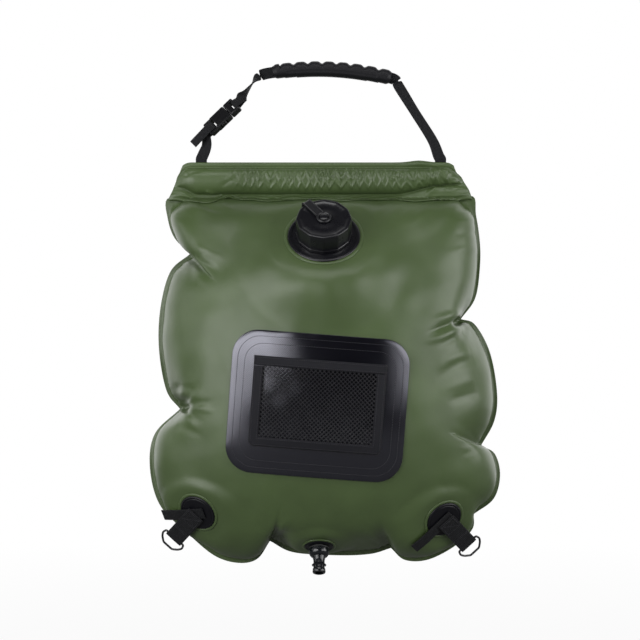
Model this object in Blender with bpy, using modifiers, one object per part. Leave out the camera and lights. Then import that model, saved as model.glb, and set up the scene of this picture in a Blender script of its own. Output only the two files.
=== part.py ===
"""Camp shower bag: a welded film bag with a filler, an outlet, a net pocket, rings and a handle.

Metres, +Z up, the front of the bag faces -Y. The origin is the point on the underside of the
grip where the handle hangs.
"""

import math

import bmesh
import bpy
from mathutils import Matrix, Vector

# Clearances
GAP = 0.0003
CLEAR = 0.0004

# Bag film and seam
FILM = 0.0007
FLANGE_WIDTH = 0.0055
BAG_CENTRE = Vector((0.004, 0.0, -0.321))
BAG_HALF_DEPTH = 0.105
BAG_INNER_HALF_WIDTH = 0.176
BAG_INNER_HALF_HEIGHT = 0.197
BAG_INNER_SQUARENESS = 2.7
CROWN_IN = 2.2
CROWN_OUT = 2.2
PINCH_DEPTH = 0.024
PINCH_GROOVE = 0.42
PINCH_REACH = 0.17
SEAM_STEP = 0.0230
RING_FRACTIONS = (0.978, 0.925, 0.84, 0.72, 0.56, 0.37, 0.18)

# Seam outline, lobe by lobe, clockwise from the top left corner as seen from the front (x, z)
LOBES = (
    (
        (-0.1520, -0.1310),
        (-0.1250, -0.1265),
        (0.0, -0.1265),
        (0.1250, -0.1265),
        (0.1500, -0.1290),
    ),
    (
        (0.1500, -0.1290),
        (0.1640, -0.1430),
        (0.1700, -0.1750),
        (0.1700, -0.2050),
        (0.1650, -0.2370),
        (0.1498, -0.2589),
    ),
    (
        (0.1498, -0.2589),
        (0.1650, -0.2650),
        (0.1808, -0.2945),
        (0.1885, -0.3375),
        (0.1855, -0.3680),
        (0.1712, -0.3948),
    ),
    (
        (0.1712, -0.3948),
        (0.1860, -0.4030),
        (0.1918, -0.4260),
        (0.1850, -0.4510),
        (0.1637, -0.4676),
    ),
    (
        (0.1637, -0.4676),
        (0.1620, -0.4840),
        (0.1434, -0.5018),
        (0.1150, -0.5165),
        (0.0899, -0.5168),
        (0.0749, -0.5040),
    ),
    (
        (0.0749, -0.5040),
        (0.0524, -0.5104),
        (0.0150, -0.5118),
        (-0.0300, -0.5085),
        (-0.0546, -0.4965),
    ),
    (
        (-0.0546, -0.4965),
        (-0.0680, -0.5155),
        (-0.0880, -0.5200),
        (-0.1134, -0.5125),
        (-0.1420, -0.4890),
        (-0.1723, -0.4580),
        (-0.1830, -0.4180),
        (-0.1780, -0.3820),
        (-0.1509, -0.3552),
    ),
    (
        (-0.1509, -0.3552),
        (-0.1655, -0.3350),
        (-0.1735, -0.2890),
        (-0.1715, -0.2450),
        (-0.1610, -0.2080),
        (-0.1402, -0.1894),
    ),
    (
        (-0.1402, -0.1894),
        (-0.1580, -0.1700),
        (-0.1637, -0.1450),
        (-0.1520, -0.1310),
    ),
)

# Top sleeve, rod and the line where the straps bend
SWING_AXIS_Z = -0.0900
STRAP_X = 0.1280
SLEEVE_LEFT = -0.1520
SLEEVE_RIGHT = 0.1460
SLEEVE_TOP = SWING_AXIS_Z - 0.0013
LIP_HEIGHT = 0.0062
LIP_HALF = 0.0015
TUBE_CENTRE_Z = -0.1115
TUBE_HALF_HEIGHT = 0.0140
TUBE_HALF_DEPTH = 0.0120
SKIRT_HALF = 0.00155
SKIRT_BOTTOM = -0.1302
SLEEVE_WALL = 0.0008
SLEEVE_TAPER = 0.0140
SLEEVE_CORNER = 0.0075
SLEEVE_DROP = 0.0040
ROD_RADIUS = 0.0060
ROD_Z = -0.1072
ROD_LEFT = -0.1360
ROD_RIGHT = 0.1340

# Webbing
WEB_WIDTH = 0.0120
WEB_THICK = 0.0016
RING_WEB_WIDTH = 0.0200

# Route of the handle webbing up the right side, each point with the direction of its width
RIGHT_ROUTE = (
    ((STRAP_X, 0.0, SWING_AXIS_Z + 0.0004), (1.0, 0.0, 0.0)),
    ((STRAP_X, 0.0, SWING_AXIS_Z + 0.0022), (1.0, 0.0, 0.0)),
    ((STRAP_X - 0.0022, 0.0, -0.0840), (1.0, 0.10, 0.1)),
    ((0.1190, 0.0, -0.0670), (1.0, 0.55, 0.5)),
    ((0.1000, -0.0010, -0.0370), (1.0, 0.70, 0.6)),
    ((0.0840, 0.0, -0.0110), (0.9, 0.40, 0.6)),
)

# Its twist between the grip and the buckle
TWIST_ROUTE = (
    ((-0.0680, 0.0, -0.0005), (0.25, 0.45, 0.90)),
    ((-0.0745, 0.0, -0.0085), (0.10, 1.00, 0.15)),
    ((-0.0810, 0.0, -0.0170), (0.32, 0.98, -0.30)),
)

# Route of the lower webbing from the left end of the sleeve towards the buckle
LOWER_ROUTE = (
    ((-STRAP_X, 0.0, SWING_AXIS_Z + 0.0004), (1.0, 0.0, 0.0)),
    ((-STRAP_X, 0.0, SWING_AXIS_Z + 0.0022), (1.0, 0.0, 0.0)),
    ((-STRAP_X + 0.0014, 0.0, -0.0845), (1.0, -0.08, 0.1)),
    ((-0.1225, 0.0, -0.0740), (1.0, -0.40, 0.4)),
)

# Grip
GRIP_LEFT = Vector((-0.0514, 0.0, 0.0048))
GRIP_RIGHT = Vector((0.0749, 0.0, -0.0016))
GRIP_RISE = 0.0066
GRIP_HALF_HEIGHT = 0.0083
GRIP_HALF_DEPTH = 0.0090
GRIP_NOTCHES = 8
GRIP_SIDES = 12
GRIP_NOTCH_DEPTH = 0.0016

# Filler
FILLER_CENTRE = Vector((0.003, -0.0735, -0.1735))
FILLER_TILT = math.radians(43.0)
FLANGE_RADIUS = 0.0375
FLANGE_THICK = 0.0018
NECK_BORE = 0.0205
NECK_ROOT = 0.0235
NECK_HEIGHT = 0.0205
SPIGOT_DEPTH = 0.0030
THREAD_PITCH = 0.0040
THREAD_DEPTH = 0.0011
THREAD_START = 0.0055
THREAD_END = 0.0190
CAP_RADIUS = 0.0290
CAP_BOTTOM = 0.0026
CAP_TOP = 0.0260
CAP_PLATE = 0.0024
CAP_DISH = 0.0012
CAP_CHAMFER = 0.0022
CAP_RIM = 0.0018
CAP_BORE = 0.0254
CAP_LANDS = 12
RIVET_RADIUS = 0.0017
RIVET_HEAD = 0.0046
RIVET_HEAD_HEIGHT = 0.0014
RIVET_BARB = 0.0012
TETHER_THICK = 0.0018
TETHER_EYE = 0.0075
TETHER_EYE_EDGE = 0.0002
TETHER_HALF_WIDTH = 0.0048
TETHER_ANGLE = math.radians(128.0)

# Pocket
PATCH_CENTRE = (-0.0036, -0.3480)
PATCH_HALF_WIDTH = 0.0912
PATCH_HALF_HEIGHT = 0.0736
PATCH_CORNER = 0.0270
PATCH_TURN = math.radians(-4.3)
PATCH_THICK = 0.0012
PATCH_LIFT = 0.0012
POCKET_CENTRE_V = 0.0010
POCKET_HALF_WIDTH = 0.0680
POCKET_HALF_HEIGHT = 0.0465
BINDING_WIDTH = 0.0100
BINDING_THICK = 0.0016
POCKET_BULGE = 0.0090
NET_COLUMNS = 11
NET_ROWS = 7
NET_STRAND = 0.0012

# Corner anchors
ANCHOR_LEFT = Vector((-0.1285, -0.0520, -0.4610))
ANCHOR_RIGHT = Vector((0.1285, -0.0520, -0.4680))
ANCHOR_FACING = Vector((0.42, -0.78, -0.46))
RING_DIRECTION_LEFT = (-0.665, -0.746)
RING_DIRECTION_RIGHT = (0.665, -0.720)
TAIL_DIRECTION_LEFT = (-0.994, -0.109)
TAIL_DIRECTION_RIGHT = (-0.72, -0.69)
DISC_RADIUS = 0.0200
DISC_THICK = 0.0018
RING_STRAP_LENGTH = 0.0470
RING_STRAP_LAP = 0.0220
TAIL_BACK = 0.0090
TAIL_LENGTH = 0.0440
TAIL_SAG = 0.0015
RING_WIRE = 0.00115
RING_HALF_WIDTH = 0.0122
RING_FAR_HALF = 0.0060
RING_SWELL = 0.0012
RING_DEPTH = 0.0160

# Outlet
OUTLET_CENTRE = Vector((-0.002, -0.0445, -0.4970))
OUTLET_TILT = math.radians(-62.0)
OUTLET_FLANGE_RADIUS = 0.0150
OUTLET_FLANGE_THICK = 0.0016
OUTLET_STUD = 0.0062
OUTLET_BORE = 0.0042
OUTLET_INSIDE = 0.0100
OUTLET_DOME = 0.0108
OUTLET_LENGTH = 0.0300
OUTLET_TUBE = 0.0060
OUTLET_TIP = 0.0068
OUTLET_BARB = 0.0076
OUTLET_SEAL_THICK = 0.0014
NUT_RADIUS = 0.0105
NUT_HEIGHT = 0.0042

# Buckle
BUCKLE_CENTRE = Vector((-0.0995, 0.0, -0.0375))
BUCKLE_SLOPE = math.radians(-136.0)
BUCKLE_ROLL = math.radians(40.0)
BUCKLE_WIDTH = 0.0200
BUCKLE_THICK = 0.0078
BUCKLE_SIDE_WALL = 0.0016
BUCKLE_FACE_WALL = 0.0014
BUCKLE_ROUND = 0.0012
SOCKET_LENGTH = 0.0290
SOCKET_FLOOR = 0.0012
WINDOW_LENGTH = 0.0085
WINDOW_PAST = 0.0004
PLUG_LENGTH = 0.0125
TONGUE_HALF_WIDTH = 0.0016
TONGUE_HALF_THICK = 0.0018
PRONG_LENGTH = 0.0155
PRONG_ARM = 0.0030
BUTTON_PROUD = 0.0008
BAR_HALF = 0.00105
BAR_LOOP = 0.0024
END_BAR_HALF = 0.0016
FRAME_HALF = 0.0022
SLOT_LENGTH = 0.0034
PLUG_BAR_X = -PLUG_LENGTH + BAR_HALF
SOCKET_BAR_X = SOCKET_LENGTH - 0.0065
SLOT_HALF = WEB_WIDTH / 2 + GAP

# Half size of a cutter that goes right through
THROUGH = 0.0100


# Scene and helpers
def clear_scene():
    for obj in list(bpy.data.objects):
        bpy.data.objects.remove(obj, do_unlink=True)


def new_collection(name):
    collection = bpy.data.collections.new(name)
    bpy.context.scene.collection.children.link(collection)
    return collection


def new_material(name, colour, roughness, metallic=0.0):
    material = bpy.data.materials.new(name)
    material.use_nodes = True
    shader = material.node_tree.nodes["Principled BSDF"]
    shader.inputs["Base Color"].default_value = (*colour, 1.0)
    shader.inputs["Roughness"].default_value = roughness
    shader.inputs["Metallic"].default_value = metallic
    material.diffuse_color = (*colour, 1.0)
    return material


clear_scene()
PARTS = new_collection("camp_shower_bag")
CUTTERS = new_collection("cutters")

FILM_GREEN = new_material("film_green", (0.052, 0.078, 0.030), 0.42)
PATCH_BLACK = new_material("patch_black", (0.006, 0.006, 0.008), 0.12)
NET_BLACK = new_material("net_black", (0.013, 0.013, 0.015), 0.65)
TAPE_BLACK = new_material("tape_black", (0.020, 0.020, 0.024), 0.60)
WEBBING_BLACK = new_material("webbing_black", (0.020, 0.021, 0.023), 0.75)
PLASTIC_BLACK = new_material("plastic_black", (0.012, 0.012, 0.014), 0.30)
RUBBER_BLACK = new_material("rubber_black", (0.015, 0.015, 0.017), 0.55)
STEEL = new_material("ring_steel", (0.055, 0.055, 0.060), 0.30, 1.0)
ROD_GREY = new_material("rod_grey", (0.35, 0.35, 0.35), 0.50)


def mesh_from(bm, name, smooth_angle=35.0):
    mesh = bpy.data.meshes.new(name)
    bm.to_mesh(mesh)
    bm.free()
    if smooth_angle:
        mesh.shade_smooth()
        mesh.set_sharp_from_angle(angle=math.radians(smooth_angle))
    return mesh


def place(name, mesh, material=None, collection=None, matrix=None):
    obj = bpy.data.objects.new(name, mesh)
    (collection or PARTS).objects.link(obj)
    if material:
        mesh.materials.append(material)
    if matrix:
        obj.matrix_world = matrix
    if collection is CUTTERS:
        obj.hide_render = True
        obj.display_type = "WIRE"
    return obj


def loft(name, rings, material=None, wrap=False, collection=None, smooth_angle=35.0):
    """A closed solid through a list of closed rings, capped at its ends or wrapped round."""
    bm = bmesh.new()
    rows = [[bm.verts.new(p) for p in ring] for ring in rings]
    count = len(rows[0])
    last = len(rows) if wrap else len(rows) - 1
    for i in range(last):
        row, after = rows[i], rows[(i + 1) % len(rows)]
        for k in range(count):
            j = (k + 1) % count
            bm.faces.new((row[k], row[j], after[j], after[k]))
    if not wrap:
        bm.faces.new(rows[0][::-1])
        bm.faces.new(rows[-1])
    bmesh.ops.recalc_face_normals(bm, faces=bm.faces)
    return place(name, mesh_from(bm, name, smooth_angle), material, collection)


def sheet(rings, centre, facing):
    """An open surface from rings of points closing on a centre point, turned towards facing."""
    bm = bmesh.new()
    rows = [[bm.verts.new(p) for p in ring] for ring in rings]
    middle = bm.verts.new(centre)
    count = len(rows[0])
    for row, after in zip(rows, rows[1:]):
        for k in range(count):
            j = (k + 1) % count
            bm.faces.new((row[k], row[j], after[j], after[k]))
    for k in range(count):
        bm.faces.new((rows[-1][k], rows[-1][(k + 1) % count], middle))
    face_towards(bm, facing)
    return bm


def face_towards(bm, facing):
    bm.normal_update()
    total = Vector()
    for face in bm.faces:
        total += face.normal * face.calc_area()
    if total.dot(facing) < 0.0:
        bmesh.ops.reverse_faces(bm, faces=bm.faces)
    bm.normal_update()


def solidify(obj, thickness, offset=-1.0):
    modifier = obj.modifiers.new("wall", "SOLIDIFY")
    modifier.thickness = thickness
    modifier.offset = offset
    return modifier


def cut(obj, cutter, operation="DIFFERENCE"):
    modifier = obj.modifiers.new(operation.lower(), "BOOLEAN")
    modifier.operation = operation
    modifier.object = cutter
    return modifier


def box_mesh(name, low, high):
    bm = bmesh.new()
    bmesh.ops.create_cube(bm, size=1.0)
    low, high = Vector(low), Vector(high)
    size = high - low
    bmesh.ops.scale(bm, vec=size, verts=bm.verts)
    bmesh.ops.translate(bm, vec=(low + high) / 2, verts=bm.verts)
    return mesh_from(bm, name, smooth_angle=None)


def cylinder_mesh(name, radius, low, high, segments=32):
    """A cylinder along local Z between two heights."""
    bm = bmesh.new()
    bmesh.ops.create_cone(
        bm,
        cap_ends=True,
        segments=segments,
        radius1=radius,
        radius2=radius,
        depth=high - low,
    )
    bmesh.ops.translate(bm, vec=(0, 0, (low + high) / 2), verts=bm.verts)
    return mesh_from(bm, name)


def turned(name, profile, material, matrix, segments=32):
    """A turned piece: a profile of (radius, height) down its outer side, spun round local Z."""
    mesh = bpy.data.meshes.new(name)
    points = [(r, 0.0, h) for r, h in profile]
    edges = [(i, i + 1) for i in range(len(points) - 1)]
    mesh.from_pydata(points, edges, [])
    obj = place(name, mesh, material, matrix=matrix)
    screw = obj.modifiers.new("turn", "SCREW")
    screw.axis = "Z"
    screw.steps = segments
    screw.render_steps = segments
    screw.use_merge_vertices = True
    screw.merge_threshold = 0.00005
    screw.use_smooth_shade = True
    return obj


def frame_matrix(origin, x_axis, y_axis, z_axis):
    rotation = Matrix((x_axis, y_axis, z_axis)).transposed().to_4x4()
    return Matrix.Translation(origin) @ rotation


def spline_points(points, count):
    """Points at even steps along a smooth curve through the given points."""
    points = [Vector(p) for p in points]
    ends = [points[0] * 2 - points[1]] + points + [points[-1] * 2 - points[-2]]
    fine = []
    per = 24
    for i in range(len(points) - 1):
        a, b, c, d = ends[i : i + 4]
        for k in range(per):
            t = k / per
            fine.append(
                0.5
                * (
                    2 * b
                    + (c - a) * t
                    + (2 * a - 5 * b + 4 * c - d) * t**2
                    + (3 * b - a - 3 * c + d) * t**3
                )
            )
    fine.append(points[-1])
    lengths = [0.0]
    for p, q in zip(fine, fine[1:]):
        lengths.append(lengths[-1] + (q - p).length)
    out = []
    k = 0
    for i in range(count + 1):
        target = lengths[-1] * i / count
        while k < len(fine) - 2 and lengths[k + 1] < target:
            k += 1
        span = lengths[k + 1] - lengths[k]
        f = (target - lengths[k]) / span if span else 0.0
        out.append(fine[k].lerp(fine[k + 1], f))
    return out


def polyline_length(points):
    return sum((q - p).length for p, q in zip(points, points[1:]))


def smooth_step(value):
    t = min(1.0, max(0.0, value))
    return t * t * (3 - 2 * t)


def ribbon(name, path, widths, width, thickness, material, collection=None):
    """A flat strap along a path, with the direction of its width given at each point."""
    rings = []
    for i, point in enumerate(path):
        before = path[max(0, i - 1)]
        after = path[min(len(path) - 1, i + 1)]
        along = (after - before).normalized()
        side = Vector(widths[i])
        side = (side - along * side.dot(along)).normalized()
        up = along.cross(side)
        half_w, half_t = side * width / 2, up * thickness / 2
        ring = [
            point - half_w - half_t,
            point + half_w - half_t,
            point + half_w + half_t,
            point - half_w + half_t,
        ]
        rings.append(ring)
    return loft(name, rings, material, collection=collection, smooth_angle=30.0)


# Bag shape
def seam_outline():
    """The cut edge of the weld flange, as (x, z) vectors, with a point on every pinch."""
    points = []
    for lobe in LOBES:
        flat = [Vector((x, z)) for x, z in lobe]
        steps = max(3, round(polyline_length(flat) / SEAM_STEP))
        points += spline_points(flat, steps)[:-1]
    return points


OUTLINE = seam_outline()
CENTRE_2D = Vector((BAG_CENTRE.x, BAG_CENTRE.z))


def inner_radius(direction):
    """Radius of the smooth inner outline in a unit direction from the bag's centre."""
    n = BAG_INNER_SQUARENESS
    x = abs(direction.x) / BAG_INNER_HALF_WIDTH
    z = abs(direction.y) / BAG_INNER_HALF_HEIGHT
    return 1.0 / (x**n + z**n) ** (1.0 / n)


def outline_radius(direction):
    """Distance from the bag's centre to the seam outline in a unit direction."""
    best = 0.0
    for p, q in zip(OUTLINE, OUTLINE[1:] + OUTLINE[:1]):
        a, b = p - CENTRE_2D, q - CENTRE_2D
        edge = b - a
        det = direction.x * -edge.y + direction.y * edge.x
        if abs(det) < 1e-12:
            continue
        reach = (a.x * -edge.y + a.y * edge.x) / det
        along = (direction.x * a.y - direction.y * a.x) / det
        if reach > 0.0 and -1e-6 <= along <= 1.000001:
            best = max(best, reach)
    return best


def seam_share(fraction):
    """How far a ring at this fraction of the radius follows the lobed seam."""
    return smooth_step((fraction - 0.55) / 0.42)


def pinched(seam, smooth):
    """From 0 on a lobe to 1 at the bottom of a pinch."""
    return min(1.0, max(0.0, (smooth - seam) / PINCH_DEPTH))


def crown(fraction, pinch):
    """Height of the film over the seam plane."""
    full = (1.0 - min(1.0, fraction) ** CROWN_IN) ** (1.0 / CROWN_OUT)
    groove = PINCH_GROOVE * pinch * math.exp(-(((1.0 - fraction) / PINCH_REACH) ** 2))
    return BAG_HALF_DEPTH * full * (1.0 - groove)


def bag_height(x, z):
    """Height of the front film over the seam plane at a place seen from the front."""
    offset = Vector((x, z)) - CENTRE_2D
    distance = offset.length
    if distance < 1e-6:
        return BAG_HALF_DEPTH
    direction = offset / distance
    smooth = inner_radius(direction)
    seam = outline_radius(direction) - FLANGE_WIDTH
    fraction = distance / smooth
    for _ in range(8):
        share = seam_share(fraction)
        fraction = min(1.0, distance / (seam * share + smooth * (1.0 - share)))
    return crown(fraction, pinched(seam, smooth))


class Seat:
    """A flat place on the film that carries a rigid disc."""

    def __init__(self, centre, normal, radius, blend):
        self.centre = Vector(centre)
        self.normal = Vector(normal).normalized()
        self.radius = radius
        self.blend = blend

    def moved(self, point):
        offset = point - self.centre
        height = offset.dot(self.normal)
        flat = (offset - self.normal * height).length
        if flat > self.radius + self.blend or abs(height) > 0.06:
            return point
        keep = smooth_step((flat - self.radius) / self.blend)
        return point + self.normal * ((-GAP - height) * (1.0 - keep))


def facing(tilt):
    """Unit vector leaned up from the front by tilt."""
    return Vector((0.0, -math.cos(tilt), math.sin(tilt)))


FILLER_AXIS = facing(FILLER_TILT)
OUTLET_AXIS = facing(OUTLET_TILT)
ANCHOR_RIGHT_AXIS = ANCHOR_FACING.normalized()
ANCHOR_LEFT_AXIS = Vector((-ANCHOR_RIGHT_AXIS.x, ANCHOR_RIGHT_AXIS.y, ANCHOR_RIGHT_AXIS.z))

SEATS = (
    Seat(FILLER_CENTRE, FILLER_AXIS, FLANGE_RADIUS + 0.011, 0.022),
    Seat(OUTLET_CENTRE, OUTLET_AXIS, OUTLET_FLANGE_RADIUS + 0.007, 0.012),
    Seat(ANCHOR_LEFT, ANCHOR_LEFT_AXIS, DISC_RADIUS + 0.009, 0.018),
    Seat(ANCHOR_RIGHT, ANCHOR_RIGHT_AXIS, DISC_RADIUS + 0.009, 0.018),
)


def panel_rings(side):
    """Rings from the cut edge to the middle; side is -1 for the front and 1 for the back."""
    skin = GAP / 2 + FILM
    rings = [[], []]
    rings += [[] for _ in RING_FRACTIONS]
    for edge in OUTLINE:
        offset = edge - CENTRE_2D
        direction = offset.normalized()
        weld = offset.length - FLANGE_WIDTH
        smooth = inner_radius(direction)
        rings[0].append(Vector((edge.x, side * skin, edge.y)))
        inner = CENTRE_2D + direction * weld
        rings[1].append(Vector((inner.x, side * skin, inner.y)))
        pinch = pinched(weld, smooth)
        for i, fraction in enumerate(RING_FRACTIONS):
            share = seam_share(fraction)
            reach = fraction * (weld * share + smooth * (1.0 - share))
            spot = CENTRE_2D + direction * reach
            height = skin + crown(fraction, pinch)
            rings[i + 2].append(Vector((spot.x, side * height, spot.y)))
    return rings


def refine(bm, centre, radius):
    """Halve the faces round a seat, so that the film lies flat under its disc."""
    edges = [
        e for e in bm.edges if all((v.co - centre).length < radius for v in e.verts)
    ]
    bmesh.ops.subdivide_edges(bm, edges=edges, cuts=1, use_grid_fill=True)


def bag_panel(name, side):
    centre = Vector((BAG_CENTRE.x, side * (BAG_HALF_DEPTH + FILM), BAG_CENTRE.z))
    bm = sheet(panel_rings(side), centre, Vector((0.0, side, 0.0)))
    if side < 0:
        for seat in SEATS:
            refine(bm, seat.centre, seat.radius + seat.blend + 0.012)
        for seat in SEATS:
            for vert in bm.verts:
                vert.co = seat.moved(vert.co)
    panel = place(name, mesh_from(bm, name), FILM_GREEN)
    solidify(panel, FILM)
    return panel


def axis_frame(centre, axis):
    """Local X to the right, local Y up the film and local Z out of it."""
    right = Vector((1.0, 0.0, 0.0))
    up = axis.cross(right).normalized()
    return frame_matrix(centre, right, up, axis)


FILLER_FRAME = axis_frame(FILLER_CENTRE, FILLER_AXIS)
OUTLET_FRAME = axis_frame(OUTLET_CENTRE, OUTLET_AXIS)


def build_panels():
    front = bag_panel("front_panel", -1)
    bag_panel("back_panel", 1)
    holes = (
        ("filler_hole", NECK_ROOT + CLEAR, FILLER_FRAME),
        ("outlet_hole", OUTLET_STUD + CLEAR, OUTLET_FRAME),
    )
    for name, radius, frame in holes:
        mesh = cylinder_mesh(name, radius, -0.012, 0.012, segments=28)
        cut(front, place(name, mesh, collection=CUTTERS, matrix=frame))


# Top sleeve
def sleeve_section(bulge):
    """Middle line of the sleeve's film from the front skirt over the lip to the back skirt."""
    side = []
    side.append((SKIRT_HALF, SKIRT_BOTTOM))
    side.append((SKIRT_HALF, TUBE_CENTRE_Z - TUBE_HALF_HEIGHT - 0.0022))
    steps = 7
    for i in range(steps):
        angle = math.radians(-78.0 + 156.0 * i / (steps - 1))
        depth = max(LIP_HALF, bulge * TUBE_HALF_DEPTH * math.cos(angle))
        side.append((depth, TUBE_CENTRE_Z + TUBE_HALF_HEIGHT * math.sin(angle)))
    side.append((LIP_HALF, SLEEVE_TOP - LIP_HEIGHT))
    side.append((LIP_HALF, SLEEVE_TOP - 0.0012))
    side.append((LIP_HALF * 0.55, SLEEVE_TOP - SLEEVE_WALL / 2))
    return [(-y, z) for y, z in side] + [(y, z) for y, z in reversed(side)]


def build_sleeve():
    stations = [0.0, 0.0035, 0.0080, SLEEVE_TAPER]
    xs = [SLEEVE_LEFT + s for s in stations]
    xs.append((SLEEVE_LEFT + SLEEVE_RIGHT) / 2)
    xs += [SLEEVE_RIGHT - s for s in reversed(stations)]
    bm = bmesh.new()
    rows = []
    for x in xs:
        edge = min(x - SLEEVE_LEFT, SLEEVE_RIGHT - x)
        bulge = math.sin(min(1.0, edge / SLEEVE_TAPER) * math.pi / 2) ** 0.8
        drop = SLEEVE_DROP * (1.0 - min(1.0, edge / SLEEVE_CORNER)) ** 2
        row = []
        for y, z in sleeve_section(bulge):
            fall = drop if z > TUBE_CENTRE_Z else 0.0
            row.append(bm.verts.new((x, y, z - fall)))
        rows.append(row)
    for row, after in zip(rows, rows[1:]):
        for k in range(len(row) - 1):
            bm.faces.new((row[k], row[k + 1], after[k + 1], after[k]))
    bmesh.ops.recalc_face_normals(bm, faces=bm.faces)
    sleeve = place("top_sleeve", mesh_from(bm, "top_sleeve"), FILM_GREEN)
    solidify(sleeve, SLEEVE_WALL, offset=0.0)
    half = WEB_WIDTH / 2 + CLEAR
    for side in (-1, 1):
        name = f"strap_slot_{side}"
        low = (side * STRAP_X - half, -LIP_HALF + SLEEVE_WALL / 2, -0.104)
        high = (side * STRAP_X + half, LIP_HALF - SLEEVE_WALL / 2, -0.085)
        cut(sleeve, place(name, box_mesh(name, low, high), collection=CUTTERS))


def build_rod():
    along = frame_matrix(
        Vector((0.0, 0.0, ROD_Z)),
        Vector((0.0, 1.0, 0.0)),
        Vector((0.0, 0.0, 1.0)),
        Vector((1.0, 0.0, 0.0)),
    )
    mesh = cylinder_mesh("hanger_rod", ROD_RADIUS, ROD_LEFT, ROD_RIGHT, segments=20)
    place("hanger_rod", mesh, ROD_GREY, matrix=along)


def build_strap_ends():
    """Sewn loops round the rod, with a stem up through the slot in the sleeve."""
    outer = ROD_RADIUS + GAP + WEB_THICK
    inner = ROD_RADIUS + GAP
    half = WEB_THICK / 2
    top = SLEEVE_TOP - ROD_Z
    meet = math.acos(half / outer)
    steps = 16
    outline = [(half, top), (-half, top)]
    for i in range(steps + 1):
        angle = (math.pi - meet) + (math.pi + 2 * meet) * i / steps
        outline.append((outer * math.cos(angle), outer * math.sin(angle)))
    hole = []
    for i in range(steps):
        angle = 2 * math.pi * i / steps
        hole.append((inner * math.cos(angle), inner * math.sin(angle)))
    for side, name in ((-1, "strap_end_left"), (1, "strap_end_right")):
        curve = bpy.data.curves.new(name, "CURVE")
        curve.dimensions = "2D"
        curve.fill_mode = "BOTH"
        curve.extrude = WEB_WIDTH / 2
        for points in (outline, hole):
            spline = curve.splines.new("POLY")
            spline.points.add(len(points) - 1)
            for target, (y, z) in zip(spline.points, points):
                target.co = (y, z, 0.0, 1.0)
            spline.use_cyclic_u = True
        matrix = frame_matrix(
            Vector((side * STRAP_X, 0.0, ROD_Z)),
            Vector((0.0, 1.0, 0.0)),
            Vector((0.0, 0.0, 1.0)),
            Vector((1.0, 0.0, 0.0)),
        )
        place(name, curve, WEBBING_BLACK, matrix=matrix)


# Handle
def grip_line(t):
    """Middle line of the grip: a shallow arch from end to end."""
    chord = GRIP_LEFT.lerp(GRIP_RIGHT, t)
    normal = Vector((GRIP_LEFT.z - GRIP_RIGHT.z, 0.0, GRIP_RIGHT.x - GRIP_LEFT.x)).normalized()
    return chord + normal * GRIP_RISE * (1.0 - (2 * t - 1) ** 2)


def grip_frame(t):
    along = (grip_line(t + 0.01) - grip_line(t - 0.01)).normalized()
    across = Vector((0.0, 1.0, 0.0))
    return along, across, across.cross(along) * -1.0


def build_grip():
    rings = []
    sections = GRIP_NOTCHES * 3 + 3
    for i in range(sections + 1):
        t = i / sections
        _, across, up = grip_frame(t)
        middle = grip_line(t)
        end = min(t, 1.0 - t) * sections
        taper = (0.80, 0.95)[i if i < 2 else sections - i] if end < 2 else 1.0
        notch = 0.0
        if 2 <= i <= sections - 2 and i % 3 == 0:
            notch = GRIP_NOTCH_DEPTH
        ring = []
        for k in range(GRIP_SIDES):
            angle = 2 * math.pi * (k + 0.5) / GRIP_SIDES
            y = GRIP_HALF_DEPTH * taper * math.cos(angle)
            z = GRIP_HALF_HEIGHT * taper * math.sin(angle)
            if z < -0.4 * GRIP_HALF_HEIGHT:
                z += notch
            ring.append(middle + across * y + up * z)
        rings.append(ring)
    grip = loft("handle_grip", rings, RUBBER_BLACK)
    path = [grip_line(-0.05 + 1.1 * i / 12) for i in range(13)]
    widths = [grip_frame(-0.05 + 1.1 * i / 12)[2] for i in range(13)]
    slot = ribbon(
        "grip_slot",
        path,
        widths,
        WEB_WIDTH + 2 * GAP,
        WEB_THICK + 2 * GAP,
        None,
        collection=CUTTERS,
    )
    cut(grip, slot)
    return grip


# Buckle frame: local X along the strap away from the grip, local Y across, local Z through it
def buckle_frame():
    along = Vector((math.cos(BUCKLE_SLOPE), 0.0, math.sin(BUCKLE_SLOPE)))
    flat = Vector((-along.z, 0.0, along.x))
    depth = Vector((0.0, -1.0, 0.0))
    across = flat * math.cos(BUCKLE_ROLL) + depth * math.sin(BUCKLE_ROLL)
    through = along.cross(across)
    return frame_matrix(BUCKLE_CENTRE, along, across, through)


BUCKLE = buckle_frame()


def buckle_piece(name, mesh, material=PLASTIC_BLACK):
    return place(name, mesh, material, matrix=BUCKLE)


def buckle_cutter(name, low, high):
    return place(name, box_mesh(name, low, high), collection=CUTTERS, matrix=BUCKLE)


def bevel(obj, width, segments=1):
    modifier = obj.modifiers.new("edge", "BEVEL")
    modifier.width = width
    modifier.segments = segments
    modifier.limit_method = "ANGLE"


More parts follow.
